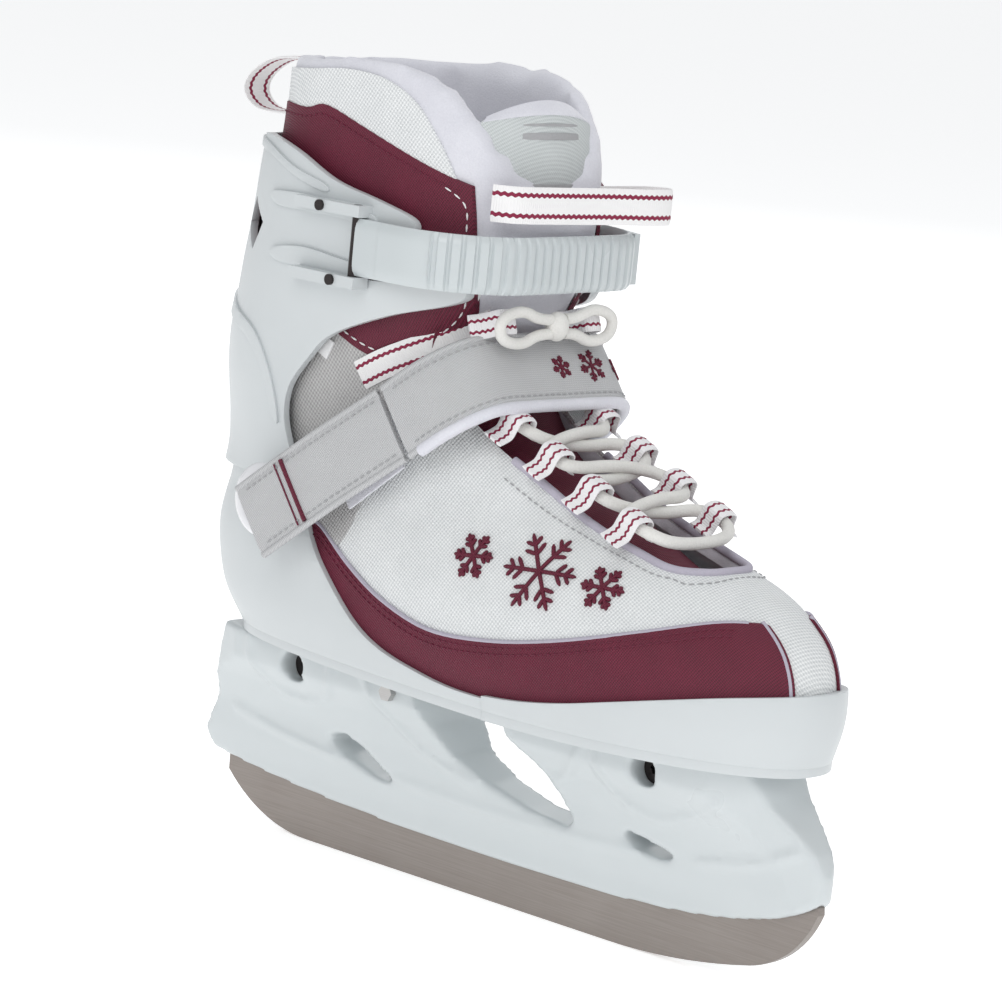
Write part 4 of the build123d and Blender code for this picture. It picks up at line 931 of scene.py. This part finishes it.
ratchet = strip("ratchet_strap", RATCHET_LINE, (0, 0, 1), RATCHET_WIDTH, RATCHET_THICKNESS, 0.0,
                ratchet_ribs, columns=12)
finish_piece(ratchet, "ratchet_strap", STRAP_GREY, "ladder_strap", ["ladder_strap"],
    angle=30)

# %% Webbing strap over the instep and its tab
WEBBING_WIDTH, WEBBING_THICKNESS = 0.0262, 0.0022
TILT = math.radians(38.0)
CROWN = Vector((0.002, 0.0, SOLE_TOP + 0.106))
DOWNHILL = Vector((-math.cos(TILT), 0.0, -math.sin(TILT)))
SIDEWAYS = Vector((math.sin(TILT), 0.0, -math.cos(TILT)))


def on_strap(points):
    """Points of the strap's own plane, in millimetres, as points of the model."""
    return [CROWN + DOWNHILL * u / 1000 + Vector((0, y / 1000, 0)) for u, y in points]


OVER_LINE = on_strap(rounded([(68, 47), (44, 47), (28, 46), (12, 43.6), (0, 38.5), (-6.5, 30), (-7.5, 15),
                              (-7.5, 0),
                              (-7.5, -15), (-6.5, -30), (0, -38.5), (12, -43.9),
                                  (27.5, -45.2)], closed=False))
TAB_LINE = on_strap(rounded([(29.5, -45.6), (45, -48.4), (60, -50.9), (80, -52.9),
    (102, -54.4)], closed=False))
instep_web = strip("instep_webbing", resample(OVER_LINE, 0.0012), -SIDEWAYS, WEBBING_WIDTH, WEBBING_THICKNESS)
finish_piece(instep_web, "instep_webbing", WEBBING_GREY, "boot", ["instep_strap"])
tab_web = strip("tab_webbing", resample(TAB_LINE, 0.0012), -SIDEWAYS, WEBBING_WIDTH, WEBBING_THICKNESS)
finish_piece(tab_web, "tab_webbing", WEBBING_GREY, "strap_tab", ["strap_tab"])

# %% Ribbon pull loops
RIBBON_WIDTH, RIBBON_THICKNESS = 0.0127, 0.0011
HEEL_ROUTE = [(-114, 283), (-126, 283.5), (-138, 281.5), (-148, 275), (-150, 268.5), (-143, 263.5),
              (-130, 263),
              (-114, 264)]
FRONT_ROUTE = [(3, -32), (10, -26), (12.5, -8), (14.5, 14), (18, 34), (17, 44), (12.5, 45.5), (8.6, 38),
    (8.4, 16)]
FRONT_HEIGHT = 248.0
heel_line = [Vector((x, 0, z)) / 1000 for x, z in rounded(HEEL_ROUTE, closed=False)]
front_line = [Vector((x, y, FRONT_HEIGHT)) / 1000 for x, y in rounded(FRONT_ROUTE, closed=False)]
heel_pull = strip("heel_pull_ribbon", resample(heel_line, 0.001), (0, 1, 0), RIBBON_WIDTH, RIBBON_THICKNESS)
finish_piece(heel_pull, "heel_pull_ribbon", RIBBON, "cuff", ["heel_pull_loop"])
front_pull = strip("front_pull_ribbon", resample(front_line, 0.001), (0, 0, 1),
    RIBBON_WIDTH, RIBBON_THICKNESS)
finish_piece(front_pull, "front_pull_ribbon", RIBBON, "cuff", ["front_pull_loop"])

# %% [markdown]
# ## Laces
# The lace is one round braided cord. It goes through folded ribbon loops, crosses over the tongue between
# them, and ends in a bow. Each cord is a smooth curve with a round bevel.

# %% Cords
def cord_curve(name, points, diameter):
    """A round cord along a smooth spline through the given control points, in millimetres."""
    data = bpy.data.curves.new(name, "CURVE")
    data.dimensions = "3D"
    spline = data.splines.new("NURBS")
    spline.points.add(len(points) - 1)
    for point, (x, y, z) in zip(spline.points, points):
        point.co = (x / 1000, y / 1000, z / 1000, 1.0)
    spline.order_u = 3
    spline.use_endpoint_u = True
    spline.resolution_u = 8
    data.bevel_depth = diameter / 2000
    data.bevel_resolution = 5
    data.use_fill_caps = True
    piece = bpy.data.objects.new(name, data)
    bpy.context.scene.collection.objects.link(piece)
    data.materials.append(LACE_CLOTH)
    return piece


LACE_ROUTE = [
    (8.6, 21.5, 176.0), (21.4, 21.5, 170.3), (24.5, 0.0, 171.5), (27.6, -21.5, 167.5), (40.4, -21.5, 162.0),
    (43.5, 0.0, 163.3), (46.6, 21.5, 159.4), (59.4, 21.5, 153.8), (62.5, 0.0, 155.1), (65.6, -21.5, 151.1),
    (78.4, -21.5, 147.0), (84.0, -12.0, 143.5), (84.0, 12.0, 143.7), (78.4, 21.5, 147.0), (65.6, 21.5, 151.1),
    (62.5, 0.0, 149.4), (59.4, -21.5, 153.8), (46.6, -21.5, 159.4), (43.5, 0.0, 157.6), (40.4, 21.5, 162.0),
    (27.6, 21.5, 167.5), (24.5, 0.0, 165.8), (21.4, -21.5, 170.3), (8.6, -21.5, 176.0)]
lace = cord_curve("lace_crossed", LACE_ROUTE, 4.4)
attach(lace, "boot")
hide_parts("lace_lower")

BOW_ROUTE = [(3.5, 208.2), (9.5, 208.2), (18, 212), (29, 209), (28, 201.5), (17, 199.5), (9.5, 203.2),
    (3.5, 203.2)]
for word, side in (("inner", -1), ("outer", 1)):
    loop = cord_curve("bow_loop_" + word, [(9.2, side * y, z) for y, z in BOW_ROUTE], 3.96)
    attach(loop, "cuff")
    if side < 0:
        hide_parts("lace_bow")

# %% Knot
bpy.ops.mesh.primitive_uv_sphere_add(radius=0.005, segments=24, ring_count=16, location=(0.0092, 0, 0.2057))
knot = bpy.context.object
knot.scale = (0.8, 0.9, 1.05)
bpy.ops.object.transform_apply(location=True, rotation=True, scale=True)
apply_modifier(knot, "SMOOTH", factor=0.2, iterations=2)
finish_piece(knot, "bow_knot", LACE_CLOTH, "cuff")

# %% Folded ribbon loops that hold the lace
LOOP_PLACES = [(72, 148.7, 23.5), (53, 156.6, 23.5), (34, 164.8, 23.5), (15, 173.2, 23.5), (2.4, 206.0, 70.0)]


def ribbon_hoop(name, x, side, z, slope, body):
    """One ribbon folded round the lace, its ends spread to both sides and tucked under the binding."""
    slant = Matrix.Rotation(math.radians(slope), 3, "Y")
    outline = [(-7.5, -4.4), (-5.2, -3.2), (-4.4, 0.0), (-3.6, 3.4), (0.0, 4.3), (3.6, 3.4), (4.4, 0.0),
               (5.2, -3.2), (9.5, -5.6)]
    points = [Vector((0, y * side, h)) for y, h in rounded(outline, closed=False, density=5)]
    line = [Vector((x, side * 21.5, z)) / 1000 + slant @ (p / 1000) for p in points]
    hoop = strip(name, line, slant @ Vector((1, 0, 0)), 0.0088, RIBBON_THICKNESS)
    finish_piece(hoop, name, LOOP_RIBBON, body, ())
    return hoop


for row, (x, z, slope) in enumerate(LOOP_PLACES):
    for word, side in (("medial", -1), ("lateral", 1)):
        hoop = ribbon_hoop("lace_loop_" + str(row) + "_" + word, x, side, z, slope,
            "boot" if row < 4 else "cuff")
        if row == 0 and side < 0:
            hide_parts("lace_loops_lower")
        if row == 4 and side < 0:
            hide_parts("lace_loops_upper")

# %% [markdown]
# ## Stitching, piping and embroidery
# Thread is what makes sewn panels read as sewn. Each row follows the last: points given from the side or from
# above are dropped on to the surface by a ray. A row of stitches is many short capsules in one mesh, each
# with a few dozen faces. Piping is one tube.

# %% Drop points on to the last
def from_side(points, side, grow):
    """Side-view points (X, Z, in millimetres) dropped on to the last. Returns places and normals."""
    found = []
    for x, z in points:
        hit = LAST_TREE.ray_cast(Vector((x / 1000, side * 0.2, z / 1000)), Vector((0, -side, 0)))
        if hit[0] is not None:
            normal = hit[1] if hit[1].y * side > 0 else -hit[1]
            found.append((hit[0] + normal * grow / 1000, normal))
    return found


def along_ray(points, origin, across, upward, grow):
    """Points of a small flat drawing, in millimetres, dropped on to the last against the drawing's normal."""
    across, upward = Vector(across).normalized(), Vector(upward).normalized()
    facing = across.cross(upward).normalized()
    found = []
    for a, b in points:
        start = Vector(origin) / 1000 + (across * a + upward * b) / 1000 + facing * 0.08
        hit = LAST_TREE.ray_cast(start, -facing)
        if hit[0] is not None:
            normal = hit[1] if hit[1].dot(facing) > 0 else -hit[1]
            found.append((hit[0] + normal * grow / 1000, normal))
    return found


def tube_rings(line, radius, sides=8, taper=False):
    """Vertices and faces of a round tube along a line of points."""
    verts, faces = [], []
    for k, point in enumerate(line):
        ahead = (line[min(k + 1, len(line) - 1)] - line[max(k - 1, 0)]).normalized()
        first = ahead.cross(Vector((0.13, 0.31, 0.94))).normalized()
        second = ahead.cross(first)
        size = radius * (0.45 if taper and k in (0, len(line) - 1) else 1.0)
        for s in range(sides):
            a = 2 * math.pi * s / sides
            verts.append(point + (first * math.cos(a) + second * math.sin(a)) * size)
    for k in range(len(line) - 1):
        for s in range(sides):
            n = (s + 1) % sides
            faces.append((k * sides + s, k * sides + n, (k + 1) * sides + n, (k + 1) * sides + s))
    last = (len(line) - 1) * sides
    faces += [tuple(range(sides))[::-1], tuple(range(last, last + sides))]
    return verts, faces


def tubes(name, lines, radius, material, body, sides=8, taper=False):
    """One mesh of several tubes."""
    verts, faces = [], []
    for line in lines:
        if len(line) < 2:
            continue
        more_verts, more_faces = tube_rings(line, radius / 1000, sides, taper)
        faces += [tuple(i + len(verts) for i in face) for face in more_faces]
        verts += more_verts
    piece = new_mesh(name, verts, faces)
    face_outwards(piece)
    return finish_piece(piece, name, material, body, angle=60)


def stitch_lines(line, long, gap):
    """Cut a line of points into short stitches."""
    even = resample(line, 0.0005)
    step = int(round((long + gap) / 0.5))
    keep = int(round(long / 0.5))
    return [[even[k], even[k + keep // 2], even[k + keep]] for k in range(0, len(even) - keep - 1, step)]


def sewn(name, rows, material, body, long=2.0, gap=1.0, radius=0.32):
    """Rows of stitches as one piece."""
    stitches = [s for row in rows for s in stitch_lines(row, long, gap)]
    return tubes(name, stitches, radius, material, body, sides=6, taper=True)


def places(found):
    return [p for p, normal in found]


# %% Stitch rows along the panels
FOXING_TOP = [(-66, 123.5), (-59, 122.5), (-42.5, 113), (-22, 104), (3.5, 98.7), (32, 100.6), (60, 106),
              (90, 114.3),
              (112, 121), (121, 122.2)]
COLLAR_EDGE = [(-14, 251), (-7.5, 246), (-6.5, 236), (-7.5, 217), (-13, 204.5), (-29, 191), (-45, 192),
    (-61, 199)]
COLLAR_TOP = [(-116, 262), (-104, 266.5), (-81, 267.2), (-70, 269), (-51, 263.4), (-26, 255.6), (-9, 250)]
for word, side in (("medial", -1), ("lateral", 1)):
    top = rounded(FOXING_TOP, closed=False)
    sewn("foxing_stitch_" + word, [places(from_side([(x, z - d) for x, z in top], side, 1.25)) for d in (0,
         2.2)],
         DARK_THREAD, "boot")
    sewn("collar_stitch_" + word, [places(from_side(rounded(COLLAR_EDGE, closed=False), side, 1.2))],
         WHITE_THREAD, "cuff", 2.6, 1.4, 0.38)
    sewn("collar_row_" + word, [places(from_side(rounded(COLLAR_TOP, closed=False), side, 1.15))],
         DARK_THREAD, "cuff")
    tubes("foxing_piping_" + word,
          [places(from_side(rounded([(x, z + 2.2) for x, z in FOXING_TOP], closed=False), side, 0.5))], 0.8,
          PIPING, "boot")

for word, side in (("medial", -1), ("lateral", 1)):
    edge = along_ray([(side * 12.2, z) for z in range(103, 127, 2)], (100, 0, 0), (0, 1, 0), (0, 0, 1), 0.7)
    tubes("toe_strip_piping_" + word, [places(edge)], 0.75, PIPING, "boot")

# %% Binding round the throat
BINDING_REAR = 11          # in millimetres, behind which the webbing strap hides the binding
half = [(x, y) for x, y in rounded(THROAT) if x > BINDING_REAR]
half.sort(key=lambda p: math.atan2(p[1], p[0] - 40))
ring_up = along_ray([(x, y) for x, y in half], (0, 0, 230), (1, 0, 0), (0, 1, 0), 0.2)
binding = [p for p, normal in ring_up if p.z > SOLE_TOP + 0.035]
tubes("throat_binding", [resample(binding, 0.0015)], 1.5, PIPING, "boot", sides=12)
inset = [(x + (4 if x > 90 else 0), y + math.copysign(4.2, y)) for x, y in half]
sewn("throat_stitch", [places(along_ray(inset, (0, 0, 230), (1, 0, 0), (0, 1, 0),
    0.25))], GREY_THREAD, "boot")

# %% Embroidery: three snowflakes on the inner side of the forefoot
def snowflake(radius):
    """Strokes of a six-armed snowflake, in millimetres."""
    strokes = []
    for arm in range(6):
        a = math.radians(60 * arm + 15)
        along, beside = Vector((math.cos(a), math.sin(a))), Vector((-math.sin(a), math.cos(a)))
        strokes.append([along * radius * t / 12 for t in range(13)])
        for place_on_arm, barb in ((0.45, 0.26), (0.70, 0.20)):
            for hand in (-1, 1):
                base = along * radius * place_on_arm
                tip = base + along * radius * barb * 0.8 + beside * hand * radius * barb
                strokes.append([base.lerp(tip, t / 5) for t in range(6)])
    return strokes


motif = []
for centre, radius in (((46, -40, 131), 15.0), ((17, -42, 131), 8.5), ((72, -38, 131), 8.5)):
    for stroke in snowflake(radius):
        motif.append(places(along_ray(stroke, centre, (1, 0, -0.18), (0.10, 0.55, 0.8), 0.35)))
tubes("snowflake_embroidery", motif, 0.75, MAROON_WEAVE, "boot", sides=8, taper=True)

# %% Details of the webbing strap
def strap_row(line, sideways, lift):
    """A row beside the middle of a strap, on its outer face."""
    even = resample(line, 0.0012)
    row = []
    for k, point in enumerate(even):
        ahead = (even[min(k + 1, len(even) - 1)] - even[max(k - 1, 0)]).normalized()
        out = ahead.cross(SIDEWAYS).normalized()
        row.append(point + SIDEWAYS * sideways / 1000 + out * lift / 1000)
    return row


for word, line, body in (("instep", OVER_LINE, "boot"), ("tab", TAB_LINE, "strap_tab")):
    sewn(word + "_strap_stitch", [strap_row(line, s, 1.15)[2:-2] for s in (-10.4, 10.4)], GREY_THREAD, body)
    tubes(word + "_strap_edges", [strap_row(line, s, 0) for s in (-13.1, 13.1)], 1.25, WEBBING_GREY, body,
        sides=10)
tubes("instep_plush_edge", [strap_row(OVER_LINE, 13.8, -0.6)[14:-4]], 2.2, PLUSH, "boot", sides=12)
stripe_line = strap_row(TAB_LINE, 0, 1.25)
spot = stripe_line[int(len(stripe_line) * 0.66)]
spot_next = stripe_line[int(len(stripe_line) * 0.66) + 2]
for number, shift in enumerate((0.0, 0.0034)):
    band = [spot + (spot_next - spot).normalized() * shift + SIDEWAYS * t / 1000 for t in range(-12, 13, 2)]
    tubes("tab_stripe_" + str(number), [band], 0.85 if number == 0 else 0.35,
          MAROON_WEAVE if number == 0 else DARK_THREAD, "strap_tab")
over_mid = strap_row(OVER_LINE, 0, 1.2)
flakes = []
for share, radius in ((0.50, 6.5), (0.585, 4.6), (0.415, 4.6)):
    spot_at = int(len(over_mid) * share)
    base = over_mid[spot_at]
    ahead = (over_mid[spot_at + 2] - over_mid[spot_at - 2]).normalized()
    for stroke in snowflake(radius):
        flakes.append([base + ahead * p[0] / 1000 + SIDEWAYS * p[1] / 1000 for p in stroke])
tubes("strap_snowflakes", flakes, 0.5, MAROON_WEAVE, "boot", sides=6, taper=True)

# %% Blank side label and the ankle webbing
LABEL = finish_of(
    "label_cloth", weave, {"Yarn": rgb(0.9, 0.9, 0.9), "Gap": rgb(0.72, 0.72, 0.73), "Threads": 1500.0},
    roughness=0.7, bump=0.15)
panel("side_label", [(-80, 193.5), (-80, 193.5), (-62, 184), (-62, 184), (-58.5, 190.5), (-58.5, 190.5),
                     (-76.5, 200),
                     (-76.5, 200)], 0.6, 1.5, MEDIAL, LABEL, ANKLE, low=90, high=140)
webbing_points = from_side(rounded([(-46, 181), (-36, 187), (-24, 193.5), (-13, 200),
    (-5, 207)], closed=False), -1, 1.7)
webbing_line = resample(places(webbing_points), 0.001)
ankle_ribbon = strip("ankle_ribbon", webbing_line, (-0.45, -0.25, 0.86), 0.0105, RIBBON_THICKNESS)
finish_piece(ankle_ribbon, "ankle_ribbon", RIBBON, ANKLE, ())

# %% [markdown]
# ## The blade holder
# The real holder is one glossy moulding with soft edges, a swelling round each bolt and flow lines along its
# rail. A copy of the measured solid is merged, ridges are laid on it, and a fine voxel remesh melts them
# together with a moulded radius. The measured solid stays for collision.

# %% Holder skin
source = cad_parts["blade_holder"]
holder = new_mesh("holder_copy", [v.co.copy() for v in source.data.vertices],
                  [tuple(p.vertices) for p in source.data.polygons])
activate(holder)
bpy.ops.object.mode_set(mode="EDIT")
bpy.ops.mesh.select_all(action="SELECT")
bpy.ops.mesh.remove_doubles(threshold=0.00001)
bpy.ops.mesh.normals_make_consistent(inside=False)
bpy.ops.object.mode_set(mode="OBJECT")
HOLDER_TREE = BVHTree.FromPolygons([v.co for v in holder.data.vertices],
                                   [tuple(p.vertices) for p in holder.data.polygons])
HOLDER_CELL = 0.0013
HOLDER_RIDGES = [
    [(-124, 44), (-100, 39), (-60, 35.5), (-10, 33.5), (40, 33.8), (90, 37), (128, 44), (146, 52)],
    [(-108, 76), (-107, 66), (-98, 57), (-86, 54.5), (-73, 57.5), (-66, 66), (-66, 76)],
    [(62, 76), (65, 60), (75, 52), (88, 50), (104, 55), (118, 63)],
    [(-50, 74), (-40, 60), (-24, 48), (0, 41.5)], [(60, 73), (48, 58), (30, 46), (12, 41.5)]]
parts = [holder]
for line in HOLDER_RIDGES:
    for side in (-1, 1):
        row = []
        for x, z in rounded(line, closed=False, density=8):
            hit = HOLDER_TREE.ray_cast(Vector((x / 1000, side * 0.1, z / 1000)), Vector((0, -side, 0)))
            if hit[0] is not None and hit[0].y * side > 0:
                row.append(hit[0])
        runs = [[]]
        for point in row:
            if runs[-1] and (point - runs[-1][-1]).length > 0.009:
                runs.append([])
            runs[-1].append(point)
        for run_points in runs:
            if len(run_points) > 3:
                ridge_verts, ridge_faces = tube_rings(run_points, 0.0014, 10, True)
                parts.append(new_mesh("ridge", ridge_verts, ridge_faces))
holder = join(parts)
apply_modifier(holder, "REMESH", mode="VOXEL", voxel_size=HOLDER_CELL, adaptivity=0.0)
apply_modifier(holder, "SMOOTH", factor=0.6, iterations=5)
finish_piece(holder, "holder_moulded", HOLDER_GREY, "boot", ["blade_holder"], angle=180)
